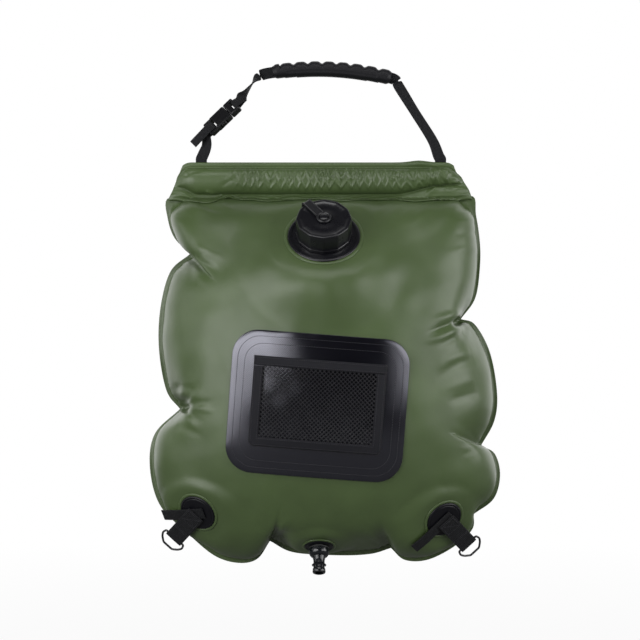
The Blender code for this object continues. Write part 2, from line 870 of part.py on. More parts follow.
def build_buckle():
    half_w, half_t = BUCKLE_WIDTH / 2, BUCKLE_THICK / 2
    cavity_w, cavity_t = half_w - BUCKLE_SIDE_WALL, half_t - BUCKLE_FACE_WALL
    socket = buckle_piece(
        "buckle_socket",
        box_mesh("buckle_socket", (0.0, -half_w, -half_t), (SOCKET_LENGTH, half_w, half_t)),
    )
    bevel(socket, BUCKLE_ROUND)
    cavity_low = (-THROUGH, -cavity_w, -cavity_t)
    cavity_high = (PRONG_LENGTH + SOCKET_FLOOR, cavity_w, cavity_t)
    cut(socket, buckle_cutter("socket_cavity", cavity_low, cavity_high))
    window = (PRONG_LENGTH - WINDOW_LENGTH, PRONG_LENGTH + WINDOW_PAST)
    window_low = (window[0], -half_w - THROUGH, -cavity_t)
    window_high = (window[1], half_w + THROUGH, cavity_t)
    cut(socket, buckle_cutter("socket_windows", window_low, window_high))
    build_ladder(socket)
    plug = buckle_piece(
        "buckle_plug",
        box_mesh("buckle_plug", (-PLUG_LENGTH, -half_w, -half_t), (-GAP, half_w, half_t)),
    )
    bevel(plug, BUCKLE_ROUND)
    slot_low = PLUG_BAR_X + BAR_HALF
    slot_high = slot_low + SLOT_LENGTH
    slot = (slot_low, -SLOT_HALF, -THROUGH), (slot_high, SLOT_HALF, THROUGH)
    cut(plug, buckle_cutter("plug_slot", *slot))
    thin_bar(plug, "plug_bar", -PLUG_LENGTH, slot_low, BAR_HALF)
    tongue = (
        (-BUCKLE_ROUND, -TONGUE_HALF_WIDTH, -TONGUE_HALF_THICK),
        (PRONG_LENGTH - BUCKLE_ROUND, TONGUE_HALF_WIDTH, TONGUE_HALF_THICK),
    )
    cut(plug, buckle_cutter("plug_tongue", *tongue), "UNION")
    for side, name in ((-1, "buckle_prong_left"), (1, "buckle_prong_right")):
        build_prong(name, side, cavity_w, cavity_t, half_w, window)


def thin_bar(obj, name, low, high, half):
    """Cut the frame down to a thin bar between its side rails."""
    past = 0.001
    for side in (-1, 1):
        near, far = sorted((side * half, side * THROUGH))
        cutter = (low - past, -SLOT_HALF, near), (high + past, SLOT_HALF, far)
        cut(obj, buckle_cutter(f"{name}_{side}", *cutter))


def build_ladder(socket):
    """Two webbing slots with a thin bar between them and a stouter bar at the end."""
    slots = (
        (SOCKET_BAR_X - BAR_HALF - SLOT_LENGTH, SOCKET_BAR_X - BAR_HALF),
        (SOCKET_BAR_X + BAR_HALF, SOCKET_BAR_X + BAR_HALF + SLOT_LENGTH),
    )
    for k, (low, high) in enumerate(slots):
        cutter = (low, -SLOT_HALF, -THROUGH), (high, SLOT_HALF, THROUGH)
        cut(socket, buckle_cutter(f"socket_slot_{k}", *cutter))
    thin_bar(socket, "socket_bar", slots[0][1], slots[1][0], BAR_HALF)
    thin_bar(socket, "socket_end", slots[1][1], SOCKET_LENGTH, END_BAR_HALF)
    frame_low = slots[0][0] + BUCKLE_ROUND
    for side in (-1, 1):
        near, far = sorted((side * FRAME_HALF, side * THROUGH))
        cutter = (frame_low, -BUCKLE_WIDTH, near), (SOCKET_LENGTH + 0.001, BUCKLE_WIDTH, far)
        cut(socket, buckle_cutter(f"socket_frame_{side}", *cutter))


def build_prong(name, side, cavity_w, cavity_t, half_w, window):
    """A springy arm on the plug, whose button fills the socket's side window."""
    inner = cavity_w - PRONG_ARM
    button = half_w + BUTTON_PROUD
    root_x = GAP
    points = (
        (root_x, inner),
        (window[0] + 0.001, inner + 0.0002),
        (PRONG_LENGTH - 0.0006, inner - 0.0004),
        (PRONG_LENGTH, inner + 0.0006),
        (window[1] - GAP, cavity_w - 0.0006),
        (window[1] - 0.0012, button - 0.0006),
        (window[0] + 0.0022, button),
        (window[0] + GAP, cavity_w + 0.0004),
        (window[0] - 0.0004, cavity_w - 0.0009),
        (root_x, cavity_w - 0.0007),
    )
    if side < 0:
        points = [(x, -y) for x, y in reversed(points)]
    curve = bpy.data.curves.new(name, "CURVE")
    curve.dimensions = "2D"
    curve.fill_mode = "BOTH"
    curve.extrude = cavity_t - CLEAR
    spline = curve.splines.new("POLY")
    spline.points.add(len(points) - 1)
    root = Vector((root_x, side * (inner + cavity_w) / 2, 0.0))
    for target, (x, y) in zip(spline.points, points):
        target.co = (x - root.x, y - root.y, 0.0, 1.0)
    spline.use_cyclic_u = True
    place(name, curve, PLASTIC_BLACK, matrix=BUCKLE @ Matrix.Translation(root))


def buckle_point(x, z):
    """A place on the middle line of the buckle, along it and through it."""
    return BUCKLE @ Vector((x, 0.0, z))


def bar_loop(bar_x, start, turn, steps=6):
    """Webbing laid round one of the buckle's bars, from a start angle back through a turn."""
    points = []
    for i in range(steps + 1):
        angle = math.radians(start - turn * i / steps)
        x = bar_x + BAR_LOOP * math.cos(angle)
        points.append(buckle_point(x, BAR_LOOP * math.sin(angle)))
    return points


def build_handle_strap():
    """From the right end of the sleeve, through the grip, round the plug's bar and back."""
    across = BUCKLE.to_3x3() @ Vector((0.0, 1.0, 0.0))
    arch = [1.03 - 1.10 * i / 10 for i in range(11)]
    bar = PLUG_BAR_X
    loop = [buckle_point(bar - 0.0065, 0.0011), buckle_point(bar - 0.0032, 0.0016)]
    loop += bar_loop(bar, 105.0, 215.0)
    loop += [buckle_point(bar - 0.0045, -0.0016), buckle_point(bar - 0.0075, -0.0010)]
    loop.append(buckle_point(bar - 0.0120, -0.0010))
    path = [Vector(point) for point, _ in RIGHT_ROUTE]
    sides = [Vector(side) for _, side in RIGHT_ROUTE]
    path += [grip_line(t) for t in arch]
    sides += [grip_frame(t)[2] for t in arch]
    path += [Vector(point) for point, _ in TWIST_ROUTE]
    sides += [Vector(side) for _, side in TWIST_ROUTE]
    path += loop
    sides += [across] * len(loop)
    ribbon("handle_strap", path, sides, WEB_WIDTH, WEB_THICK, WEBBING_BLACK)


def build_lower_strap():
    """From the left end of the sleeve up through the socket's bars, with its tail laid back."""
    across = BUCKLE.to_3x3() @ Vector((0.0, 1.0, 0.0))
    end = SOCKET_LENGTH
    loop = [buckle_point(end + 0.0050, -0.0034), buckle_point(end - 0.0005, -0.0029)]
    loop += bar_loop(SOCKET_BAR_X, -75.0, 210.0)
    loop += [buckle_point(end - 0.0005, 0.0029), buckle_point(end + 0.0060, 0.0026)]
    loop.append(buckle_point(end + 0.0220, 0.0016))
    path = [Vector(point) for point, _ in LOWER_ROUTE] + loop
    sides = [Vector(side) for _, side in LOWER_ROUTE] + [across] * len(loop)
    ribbon("lower_strap", path, sides, WEB_WIDTH, WEB_THICK, WEBBING_BLACK)


# Filler
def thread_ridge(phase):
    """Height of a trapezoid thread over one pitch, from 0 to 1."""
    phase %= 1.0
    if phase < 0.12:
        return phase / 0.12
    if phase < 0.34:
        return 1.0
    if phase < 0.46:
        return (0.46 - phase) / 0.12
    return 0.0


def thread_rows():
    rows = 14
    return [THREAD_START + (THREAD_END - THREAD_START) * i / rows for i in range(rows + 1)]


def thread_height(z, angle, shift):
    fade = min(z - THREAD_START, THREAD_END - z) / 0.0012
    fade = min(1.0, max(0.0, fade))
    return THREAD_DEPTH * fade * thread_ridge((z / THREAD_PITCH) - angle / (2 * math.pi) + shift)


def swept_round(name, section, segments, material, matrix):
    """A ring-shaped solid whose section is given at each angle."""
    rings = []
    for i in range(segments):
        angle = 2 * math.pi * i / segments
        ring = [
            Vector((r * math.cos(angle), r * math.sin(angle), z)) for r, z in section(angle)
        ]
        rings.append(ring)
    obj = loft(name, rings, material, wrap=True)
    obj.matrix_world = matrix
    return obj


def neck_section(angle):
    points = [(FLANGE_RADIUS - 0.0004, 0.0), (FLANGE_RADIUS, FLANGE_THICK * 0.6)]
    points += [(FLANGE_RADIUS - 0.0012, FLANGE_THICK), (NECK_ROOT + 0.0012, FLANGE_THICK)]
    points.append((NECK_ROOT, FLANGE_THICK + 0.0012))
    for z in thread_rows():
        points.append((NECK_ROOT + thread_height(z, angle, 0.0), z))
    points += [(NECK_ROOT - 0.0004, NECK_HEIGHT), (NECK_BORE, NECK_HEIGHT)]
    points += [(NECK_BORE, -SPIGOT_DEPTH), (NECK_ROOT, -SPIGOT_DEPTH), (NECK_ROOT, 0.0)]
    return points


def cap_section(angle):
    """Outside with flat lands, a chamfered top edge, a dished top and a threaded bore."""
    lands = math.cos(math.pi / CAP_LANDS)
    turn = (angle % (2 * math.pi / CAP_LANDS)) - math.pi / CAP_LANDS
    outside = CAP_RADIUS * lands / math.cos(turn)
    top = CAP_TOP
    plate = top - CAP_DISH - CAP_PLATE
    shoulder = outside - CAP_CHAMFER
    rim = shoulder - CAP_RIM
    points = [(outside - 0.0004, CAP_BOTTOM), (outside, CAP_BOTTOM + 0.0006)]
    points += [(outside, top - CAP_CHAMFER), (shoulder, top), (rim, top)]
    points += [(rim - CAP_DISH, top - CAP_DISH), (RIVET_RADIUS + GAP, top - CAP_DISH)]
    points += [(RIVET_RADIUS + GAP, plate), (CAP_BORE, plate)]
    for z in reversed(thread_rows()):
        points.append((CAP_BORE - thread_height(z, angle, 0.5), z))
    points.append((CAP_BORE, CAP_BOTTOM))
    return points


def build_filler():
    swept_round("filler_neck", neck_section, 30, PLASTIC_BLACK, FILLER_FRAME)
    swept_round("filler_cap", cap_section, 36, PLASTIC_BLACK, FILLER_FRAME)
    low = NECK_HEIGHT + GAP
    high = CAP_TOP - CAP_DISH - CAP_PLATE - 0.0001
    inner, outer = NECK_BORE - 0.0010, CAP_BORE - 0.0005
    turned(
        "cap_seal",
        [(inner, high), (outer, high), (outer, low), (inner, low), (inner, high)],
        RUBBER_BLACK,
        FILLER_FRAME,
        segments=30,
    )
    build_tether()


def build_tether():
    """A rivet through the cap's middle, and a strap from it over the edge to the flange."""
    plate = CAP_TOP - CAP_DISH - CAP_PLATE
    strap_low = CAP_TOP + GAP
    strap_high = strap_low + TETHER_THICK + 2 * TETHER_EYE_EDGE
    head_low, barb_high = strap_high + GAP, plate - GAP
    turned(
        "tether_rivet",
        [
            (0.0, head_low + RIVET_HEAD_HEIGHT),
            (RIVET_HEAD * 0.65, head_low + RIVET_HEAD_HEIGHT * 0.8),
            (RIVET_HEAD, head_low),
            (RIVET_RADIUS, head_low - 0.0002),
            (RIVET_RADIUS, barb_high),
            (RIVET_RADIUS + RIVET_BARB, barb_high - 0.0002),
            (RIVET_RADIUS, barb_high - 0.0018),
            (0.0, barb_high - 0.0022),
        ],
        PLASTIC_BLACK,
        FILLER_FRAME,
        segments=16,
    )
    half = TETHER_THICK / 2
    edge = CAP_RADIUS + GAP * 2 + half
    mid = strap_low + half + TETHER_EYE_EDGE
    path = [
        (0.0055, mid),
        (0.0200, mid),
        (edge - 0.0030, mid + 0.0002),
        (edge - 0.0006, mid - 0.0010),
        (edge, mid - 0.0045),
        (edge, 0.0085),
        (edge + 0.0006, 0.0042),
        (edge + 0.0024, FLANGE_THICK + GAP + half),
        (FLANGE_RADIUS - 0.0012, FLANGE_THICK + GAP + half),
    ]
    points = [Vector((r, 0.0, z)) for r, z in path]
    sides = [Vector((0.0, 1.0, 0.0))] * len(points)
    strap = ribbon(
        "cap_tether", points, sides, TETHER_HALF_WIDTH * 2, TETHER_THICK, RUBBER_BLACK
    )
    turn = FILLER_FRAME @ Matrix.Rotation(TETHER_ANGLE, 4, "Z")
    strap.matrix_world = turn
    eye = place(
        "tether_eye",
        cylinder_mesh("tether_eye", TETHER_EYE, strap_low, strap_high, segments=24),
        collection=CUTTERS,
        matrix=FILLER_FRAME,
    )
    cut(strap, eye, "UNION")
    hole = place(
        "tether_hole",
        cylinder_mesh("tether_hole", RIVET_RADIUS + GAP, 0.02, 0.04, segments=16),
        collection=CUTTERS,
        matrix=FILLER_FRAME,
    )
    cut(strap, hole)


# Pocket
def on_patch(u, v):
    """Place on the front of the bag from coordinates along the patch's width and height."""
    c, s = math.cos(PATCH_TURN), math.sin(PATCH_TURN)
    x = PATCH_CENTRE[0] + u * c - v * s
    z = PATCH_CENTRE[1] + u * s + v * c
    return x, z


def over_patch(u, v, lift):
    x, z = on_patch(u, v)
    return Vector((x, -(bag_height(x, z) + FILM + GAP / 2 + lift), z))


def rounded_outline(half_w, half_h, corner, per_corner=6, per_side=3):
    """Points round a rounded rectangle, counterclockwise from the right side."""
    points = []
    corners = (
        (half_w - corner, half_h - corner, 0.0),
        (-half_w + corner, half_h - corner, 90.0),
        (-half_w + corner, -half_h + corner, 180.0),
        (half_w - corner, -half_h + corner, 270.0),
    )
    def on_corner(index, share):
        x, y, start = corners[index % len(corners)]
        angle = math.radians(start + 90.0 * share)
        return Vector((x + corner * math.cos(angle), y + corner * math.sin(angle)))

    for index in range(len(corners)):
        points += [on_corner(index, i / per_corner) for i in range(per_corner + 1)]
        last, target = points[-1], on_corner(index + 1, 0.0)
        points += [last.lerp(target, i / per_side) for i in range(1, per_side)]
    return points


def build_patch():
    outline = rounded_outline(PATCH_HALF_WIDTH, PATCH_HALF_HEIGHT, PATCH_CORNER)
    lift = PATCH_LIFT + PATCH_THICK
    rings = []
    for scale in (1.0, 0.75, 0.40):
        rings.append([over_patch(u * scale, v * scale, lift) for u, v in outline])
    bm = sheet(rings, over_patch(0.0, 0.0, lift), Vector((0.0, -1.0, 0.0)))
    patch = place("pocket_patch", mesh_from(bm, "pocket_patch"), PATCH_BLACK)
    solidify(patch, PATCH_THICK)


def pocket_bulge(u, v):
    """How far the pocket's front stands off the patch: open at the top, sewn on three sides."""
    across = max(0.0, 1.0 - (u / POCKET_HALF_WIDTH) ** 2)
    up = (v + POCKET_HALF_HEIGHT) / (2 * POCKET_HALF_HEIGHT)
    return POCKET_BULGE * across**0.75 * math.sin(min(1.0, max(0.0, up)) * math.pi * 0.62)


def over_pocket(u, v, lift):
    height = PATCH_LIFT + PATCH_THICK + GAP + pocket_bulge(u, v) + lift
    return over_patch(u, v + POCKET_CENTRE_V, height)


def between(corners, counts):
    """Even points along straight runs between corners, with a count of steps for each run."""
    points = [Vector(corners[0])]
    for start, end, count in zip(corners, corners[1:], counts):
        run = Vector(start), Vector(end)
        points += [run[0].lerp(run[1], i / count) for i in range(1, count + 1)]
    return points


def build_binding():
    """Tape round the sides and the bottom, and a hem along the open top."""
    outer_w, outer_h = POCKET_HALF_WIDTH, POCKET_HALF_HEIGHT
    inner_w, inner_h = outer_w - BINDING_WIDTH, outer_h - BINDING_WIDTH
    top = inner_h - GAP
    outer = [(-outer_w, top), (-outer_w, -outer_h), (outer_w, -outer_h), (outer_w, top)]
    inner = [(-inner_w, top), (-inner_w, -inner_h), (inner_w, -inner_h), (inner_w, top)]
    counts = (5, 9, 5)
    tape_strip("pocket_binding", between(outer, counts), between(inner, counts))
    hem_low = [(-outer_w, inner_h), (outer_w, inner_h)]
    hem_high = [(-outer_w, outer_h), (outer_w, outer_h)]
    tape_strip("pocket_hem", between(hem_low, (12,)), between(hem_high, (12,)))


def tape_strip(name, near_edge, far_edge, across=2):
    """Tape over the pocket between two edges, facing the front."""
    bm = bmesh.new()
    rows = []
    for near, far in zip(near_edge, far_edge):
        spots = [near.lerp(far, i / across) for i in range(across + 1)]
        rows.append([bm.verts.new(over_pocket(u, v, BINDING_THICK)) for u, v in spots])
    for row, after in zip(rows, rows[1:]):
        for k in range(across):
            bm.faces.new((row[k], row[k + 1], after[k + 1], after[k]))
    face_towards(bm, Vector((0.0, -1.0, 0.0)))
    tape = place(name, mesh_from(bm, name), TAPE_BLACK)
    solidify(tape, BINDING_THICK)


def build_net():
    """A diamond net between the tapes, as one solid of joined strands."""
    half_w = POCKET_HALF_WIDTH - BINDING_WIDTH - GAP - NET_STRAND / 2
    low = -POCKET_HALF_HEIGHT + BINDING_WIDTH + GAP + NET_STRAND / 2
    high = POCKET_HALF_HEIGHT - BINDING_WIDTH - GAP - NET_STRAND / 2
    bm = bmesh.new()

    def knot(i, j):
        u = -half_w + 2 * half_w * i / NET_COLUMNS
        v = low + (high - low) * j / NET_ROWS
        return bm.verts.new(over_pocket(u, v, BINDING_THICK / 2))

    corner = {
        (i, j): knot(i, j) for i in range(NET_COLUMNS + 1) for j in range(NET_ROWS + 1)
    }
    middle = {
        (i, j): knot(i + 0.5, j + 0.5) for i in range(NET_COLUMNS) for j in range(NET_ROWS)
    }
    for i in range(NET_COLUMNS):
        for j in range(NET_ROWS + 1):
            around = [corner[i, j], middle.get((i, j - 1)), corner[i + 1, j], middle.get((i, j))]
            bm.faces.new([v for v in around if v])
    for i in range(NET_COLUMNS + 1):
        for j in range(NET_ROWS):
            around = [corner[i, j], middle.get((i, j)), corner[i, j + 1], middle.get((i - 1, j))]
            bm.faces.new([v for v in around if v])
    face_towards(bm, Vector((0.0, -1.0, 0.0)))
    net = place("pocket_net", mesh_from(bm, "pocket_net", smooth_angle=None), NET_BLACK)
    wires = net.modifiers.new("strands", "WIREFRAME")
    wires.thickness = NET_STRAND
    wires.offset = 0.0
    wires.use_boundary = True
    wires.use_even_offset = False
    wires.use_replace = True


# Corner anchors
def anchor_frame(centre, axis, direction):
    """Local Z out of the film, and local X along the strap, which leans down and outwards."""
    along = Vector((direction[0], 0.0, direction[1]))
    along.y = -(along.x * axis.x + along.z * axis.z) / axis.y
    along.normalize()
    return frame_matrix(centre, along, axis.cross(along), axis)


def build_anchor(side, centre, axis, ring_direction, tail_direction):
    base = anchor_frame(centre, axis, ring_direction)
    turned(
        f"anchor_disc_{side}",
        [
            (0.0, DISC_THICK),
            (DISC_RADIUS - 0.0010, DISC_THICK),
            (DISC_RADIUS, DISC_THICK * 0.4),
            (DISC_RADIUS - 0.0002, 0.0),
            (0.0, 0.0),
        ],
        PLASTIC_BLACK,
        base,
        segments=24,
    )
    height = DISC_THICK + GAP + WEB_THICK / 2
    reach = TAIL_LENGTH + TAIL_BACK
    path = [Vector((reach * f - TAIL_BACK, 0.0, height)) for f in (0.0, 0.4, 0.7, 1.0)]
    path[-1].z -= TAIL_SAG
    sides = [Vector((0.0, 1.0, 0.0))] * len(path)
    tail = ribbon(f"tail_strap_{side}", path, sides, WEB_WIDTH, WEB_THICK, WEBBING_BLACK)
    tail.matrix_world = anchor_frame(centre, axis, tail_direction)
    build_ring_strap(side, base)


def build_ring_strap(side, base):
    """A webbing loop from the disc round the ring's bar, its origin on the bend line."""
    height = DISC_THICK + WEB_THICK * 1.5 + 2 * GAP
    reach = RING_STRAP_LENGTH
    loop = RING_WIRE + CLEAR + WEB_THICK / 2
    ply = WEB_THICK + GAP
    bar_z = -ply / 2
    path = [(0.0, 0.0), (0.012, 0.0), (reach - 0.0085, 0.0), (reach - 0.0045, 0.0006)]
    for i in range(7):
        angle = math.radians(110.0 - 220.0 * i / 6)
        path.append((reach + loop * math.cos(angle), bar_z + loop * math.sin(angle)))
    path += [(reach - 0.0045, -ply - 0.0006), (reach - 0.0085, -ply)]
    path.append((reach - RING_STRAP_LAP, -ply))
    points = [Vector((x, 0.0, z)) for x, z in path]
    sides = [Vector((0.0, 1.0, 0.0))] * len(points)
    strap = ribbon(
        f"ring_strap_{side}", points, sides, RING_WEB_WIDTH, WEB_THICK, WEBBING_BLACK
    )
    strap.matrix_world = base @ Matrix.Translation((0.0, 0.0, height))
    half_outline = (
        (0.0, RING_HALF_WIDTH),
        (RING_DEPTH * 0.35, RING_HALF_WIDTH + RING_SWELL),
        (RING_DEPTH * 0.66, RING_HALF_WIDTH - RING_SWELL),
        (RING_DEPTH, RING_FAR_HALF),
    )
    wire = half_outline + tuple((x, -y) for x, y in reversed(half_outline))
    curve = bpy.data.curves.new(f"d_ring_{side}", "CURVE")
    curve.dimensions = "3D"
    curve.bevel_depth = RING_WIRE
    curve.bevel_resolution = 2
    spline = curve.splines.new("POLY")
    spline.points.add(len(wire) - 1)
    for target, (x, y) in zip(spline.points, wire):
        target.co = (x, y, 0.0, 1.0)
    spline.use_cyclic_u = True
    place(
        f"d_ring_{side}",
        curve,
        STEEL,
        matrix=base @ Matrix.Translation((reach, 0.0, height + bar_z)),
    )


# Outlet
def build_outlet():
    seal_low = OUTLET_FLANGE_THICK + 2 * GAP
    seal_high = seal_low + OUTLET_SEAL_THICK
    flange_in = OUTLET_STUD + GAP
    turned(
        "outlet_flange",
        [
            (flange_in, OUTLET_FLANGE_THICK),
            (OUTLET_FLANGE_RADIUS - 0.0012, OUTLET_FLANGE_THICK),
            (OUTLET_FLANGE_RADIUS, 0.0007),
            (OUTLET_FLANGE_RADIUS, 0.0),
            (flange_in, 0.0),
            (flange_in, OUTLET_FLANGE_THICK),
        ],
        PLASTIC_BLACK,
        OUTLET_FRAME,
        segments=24,
    )
    turned(
        "outlet_seal",
        [
            (flange_in, seal_high),
            (OUTLET_DOME - 0.0004, seal_high),
            (OUTLET_DOME - 0.0004, seal_low),
            (flange_in, seal_low),
            (flange_in, seal_high),
        ],
        RUBBER_BLACK,
        OUTLET_FRAME,
        segments=24,
    )
    base = seal_high + GAP
    tip = OUTLET_LENGTH
    turned(
        "outlet_body",
        [
            (OUTLET_BORE, tip),
            (OUTLET_TIP - 0.0006, tip),
            (OUTLET_TIP, tip - 0.0012),
            (OUTLET_TIP, tip - 0.0042),
            (OUTLET_TUBE, tip - 0.0052),
            (OUTLET_TUBE, tip - 0.0072),
            (OUTLET_BARB, tip - 0.0086),
            (OUTLET_TUBE, tip - 0.0105),
            (OUTLET_TUBE, tip - 0.0140),
            (OUTLET_DOME - 0.0028, base + 0.0075),
            (OUTLET_DOME - 0.0008, base + 0.0050),
            (OUTLET_DOME, base + 0.0018),
            (OUTLET_DOME, base),
            (OUTLET_STUD, base),
            (OUTLET_STUD, -OUTLET_INSIDE),
            (OUTLET_BORE, -OUTLET_INSIDE),
            (OUTLET_BORE, tip),
        ],
        PLASTIC_BLACK,
        OUTLET_FRAME,
        segments=24,
    )
    nut_high = -GAP * 3 - FILM
    nut_low = nut_high - NUT_HEIGHT
    mesh = cylinder_mesh("outlet_nut", NUT_RADIUS, nut_low, nut_high, segments=6)
    nut = place("outlet_nut", mesh, PLASTIC_BLACK, matrix=OUTLET_FRAME)
    low, high = nut_low - THROUGH, nut_high + THROUGH
    mesh = cylinder_mesh("nut_hole", OUTLET_STUD + GAP, low, high, segments=24)
    cut(nut, place("nut_hole", mesh, collection=CUTTERS, matrix=OUTLET_FRAME))


build_panels()
build_sleeve()
build_rod()
build_strap_ends()
build_grip()
build_buckle()
build_handle_strap()
build_lower_strap()
build_filler()
build_patch()
build_binding()
build_net()
build_anchor("left", ANCHOR_LEFT, ANCHOR_LEFT_AXIS, RING_DIRECTION_LEFT, TAIL_DIRECTION_LEFT)
build_anchor("right", ANCHOR_RIGHT, ANCHOR_RIGHT_AXIS, RING_DIRECTION_RIGHT, TAIL_DIRECTION_RIGHT)
build_outlet()
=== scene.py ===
"""Looks of the camp shower bag: coated film, webbing, net, moulded fittings and a plain stage."""

import math

import bmesh
import bpy
import numpy as np
from mathutils import Matrix, Vector
from mathutils.bvhtree import BVHTree
from mathutils.geometry import delaunay_2d_cdt


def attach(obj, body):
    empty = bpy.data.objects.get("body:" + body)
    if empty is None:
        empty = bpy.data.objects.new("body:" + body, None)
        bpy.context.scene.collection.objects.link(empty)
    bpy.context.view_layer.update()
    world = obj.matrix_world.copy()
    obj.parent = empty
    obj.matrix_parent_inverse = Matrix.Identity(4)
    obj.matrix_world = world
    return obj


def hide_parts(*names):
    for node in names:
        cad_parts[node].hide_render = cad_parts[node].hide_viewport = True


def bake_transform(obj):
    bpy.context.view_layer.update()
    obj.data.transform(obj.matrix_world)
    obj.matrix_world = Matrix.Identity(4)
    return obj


bl_info = {
    "name": "Camp shower bag looks",
    "version": (1, 0, 0),
    "blender": (4, 5, 0),
    "location": "3D View > Sidebar > Shower bag",
    "description": "Dresses a camp shower bag with its film, webbing, net and moulded parts",
    "category": "Object",
}

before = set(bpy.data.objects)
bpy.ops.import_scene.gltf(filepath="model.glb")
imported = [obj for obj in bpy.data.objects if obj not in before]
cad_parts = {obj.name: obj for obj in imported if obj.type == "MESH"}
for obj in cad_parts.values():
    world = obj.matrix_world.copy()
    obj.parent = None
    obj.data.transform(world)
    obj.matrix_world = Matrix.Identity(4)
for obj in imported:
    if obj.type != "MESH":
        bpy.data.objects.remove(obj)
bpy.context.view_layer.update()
ACROSS = Vector((0.0, 1.0, 0.0))
MICROMETRE = 1e-6

# Film and seam, as in the solids
GAP = 0.0003
FILM = 0.0007
FLANGE_WIDTH = 0.0055
BAG_CENTRE = (0.004, -0.321)
BAG_HALF_DEPTH = 0.105
BAG_INNER_HALF_WIDTH = 0.176
BAG_INNER_HALF_HEIGHT = 0.197
BAG_INNER_SQUARENESS = 2.7
CROWN = 2.2
PINCH_DEPTH = 0.024
PINCH_GROOVE = 0.42
PINCH_REACH = 0.10

# Cut edge of the seam, clockwise from the top left corner seen from the front. Each lobe
# starts where the one before it ends.
LOBES = (
    ((-0.1250, -0.1265), (0.0, -0.1265), (0.1250, -0.1265), (0.1500, -0.1290)),
    ((0.1640, -0.1430), (0.1700, -0.1750), (0.1700, -0.2050), (0.1650, -0.2370), (0.1498, -0.2589)),
    ((0.1650, -0.2650), (0.1808, -0.2945), (0.1885, -0.3375), (0.1855, -0.3680), (0.1712, -0.3948)),
    ((0.1860, -0.4030), (0.1918, -0.4260), (0.1850, -0.4510), (0.1637, -0.4676)),
    ((0.1620, -0.4840), (0.1434, -0.5018), (0.1150, -0.5165), (0.0899, -0.5168), (0.0749, -0.5040)),
    ((0.0524, -0.5104), (0.0150, -0.5118), (-0.0300, -0.5085), (-0.0546, -0.4965)),
    (
        (-0.0680, -0.5155), (-0.0880, -0.5200), (-0.1134, -0.5125), (-0.1420, -0.4890),
        (-0.1723, -0.4580), (-0.1830, -0.4180), (-0.1780, -0.3820), (-0.1509, -0.3552),
    ),
    (
        (-0.1655, -0.3350), (-0.1735, -0.2890), (-0.1715, -0.2450), (-0.1610, -0.2080),
        (-0.1402, -0.1894),
    ),
    ((-0.1580, -0.1700), (-0.1637, -0.1450), (-0.1520, -0.1310)),
)

# Sleeve and straps, as in the solids
SWING_AXIS_Z = -0.0900
STRAP_X = 0.1280
SLEEVE_LEFT = -0.1520
SLEEVE_RIGHT = 0.1460
SLEEVE_TOP = SWING_AXIS_Z - 0.0013
LIP_HEIGHT = 0.0062
TUBE_CENTRE_Z = -0.1115
TUBE_HALF_HEIGHT = 0.0140
TUBE_HALF_DEPTH = 0.0120
WELD_Z = -0.1345
SKIRT_LEAD = 0.0010
ROD_RADIUS = 0.0060
ROD_Z = -0.1072
WEB_WIDTH = 0.0120
WEB_THICK = 0.0016
RING_WEB_WIDTH = 0.0200
RIGHT_ROUTE = (
    ((STRAP_X, 0.0, SWING_AXIS_Z + 0.0004), (1.0, 0.0, 0.0)),
    ((STRAP_X, 0.0, SWING_AXIS_Z + 0.0022), (1.0, 0.0, 0.0)),
    ((STRAP_X - 0.0022, 0.0, -0.0840), (1.0, 0.10, 0.1)),
    ((0.1190, 0.0, -0.0670), (1.0, 0.55, 0.5)),
    ((0.1000, -0.0010, -0.0370), (1.0, 0.70, 0.6)),
    ((0.0840, 0.0, -0.0110), (0.9, 0.40, 0.6)),
)
TWIST_ROUTE = (
    ((-0.0680, 0.0, -0.0005), (0.25, 0.45, 0.90)),
    ((-0.0745, 0.0, -0.0085), (0.10, 1.00, 0.15)),
    ((-0.0810, 0.0, -0.0170), (0.32, 0.98, -0.30)),
)
LOWER_ROUTE = (
    ((-STRAP_X, 0.0, SWING_AXIS_Z + 0.0004), (1.0, 0.0, 0.0)),
    ((-STRAP_X, 0.0, SWING_AXIS_Z + 0.0022), (1.0, 0.0, 0.0)),
    ((-STRAP_X + 0.0014, 0.0, -0.0845), (1.0, -0.08, 0.1)),
    ((-0.1225, 0.0, -0.0740), (1.0, -0.40, 0.4)),
)

# Grip
GRIP_LEFT = Vector((-0.0514, 0.0, 0.0048))
GRIP_RIGHT = Vector((0.0749, 0.0, -0.0016))
GRIP_RISE = 0.0066
GRIP_HALF_HEIGHT = 0.0083
GRIP_HALF_DEPTH = 0.0090
GRIP_NOTCHES = 8
GRIP_SECTIONS = 190
GRIP_SIDES = 44

# Filler
FILLER_CENTRE = Vector((0.003, -0.0735, -0.1735))
FILLER_TILT = math.radians(43.0)
FLANGE_RADIUS = 0.0375
FLANGE_THICK = 0.0018
NECK_BORE = 0.0205
NECK_ROOT = 0.0235
NECK_HEIGHT = 0.0205
THREAD_PITCH = 0.0040
SPIGOT_DEPTH = 0.0030
CAP_RADIUS = 0.0290
CAP_BOTTOM = 0.0026
CAP_TOP = 0.0260
CAP_PLATE = 0.0024
CAP_DISH = 0.0012
CAP_BORE = 0.0254
CAP_LANDS = 12
TETHER_THICK = 0.0018
TETHER_EYE = 0.0075
TETHER_HALF_WIDTH = 0.0048
TETHER_ANGLE = math.radians(128.0)

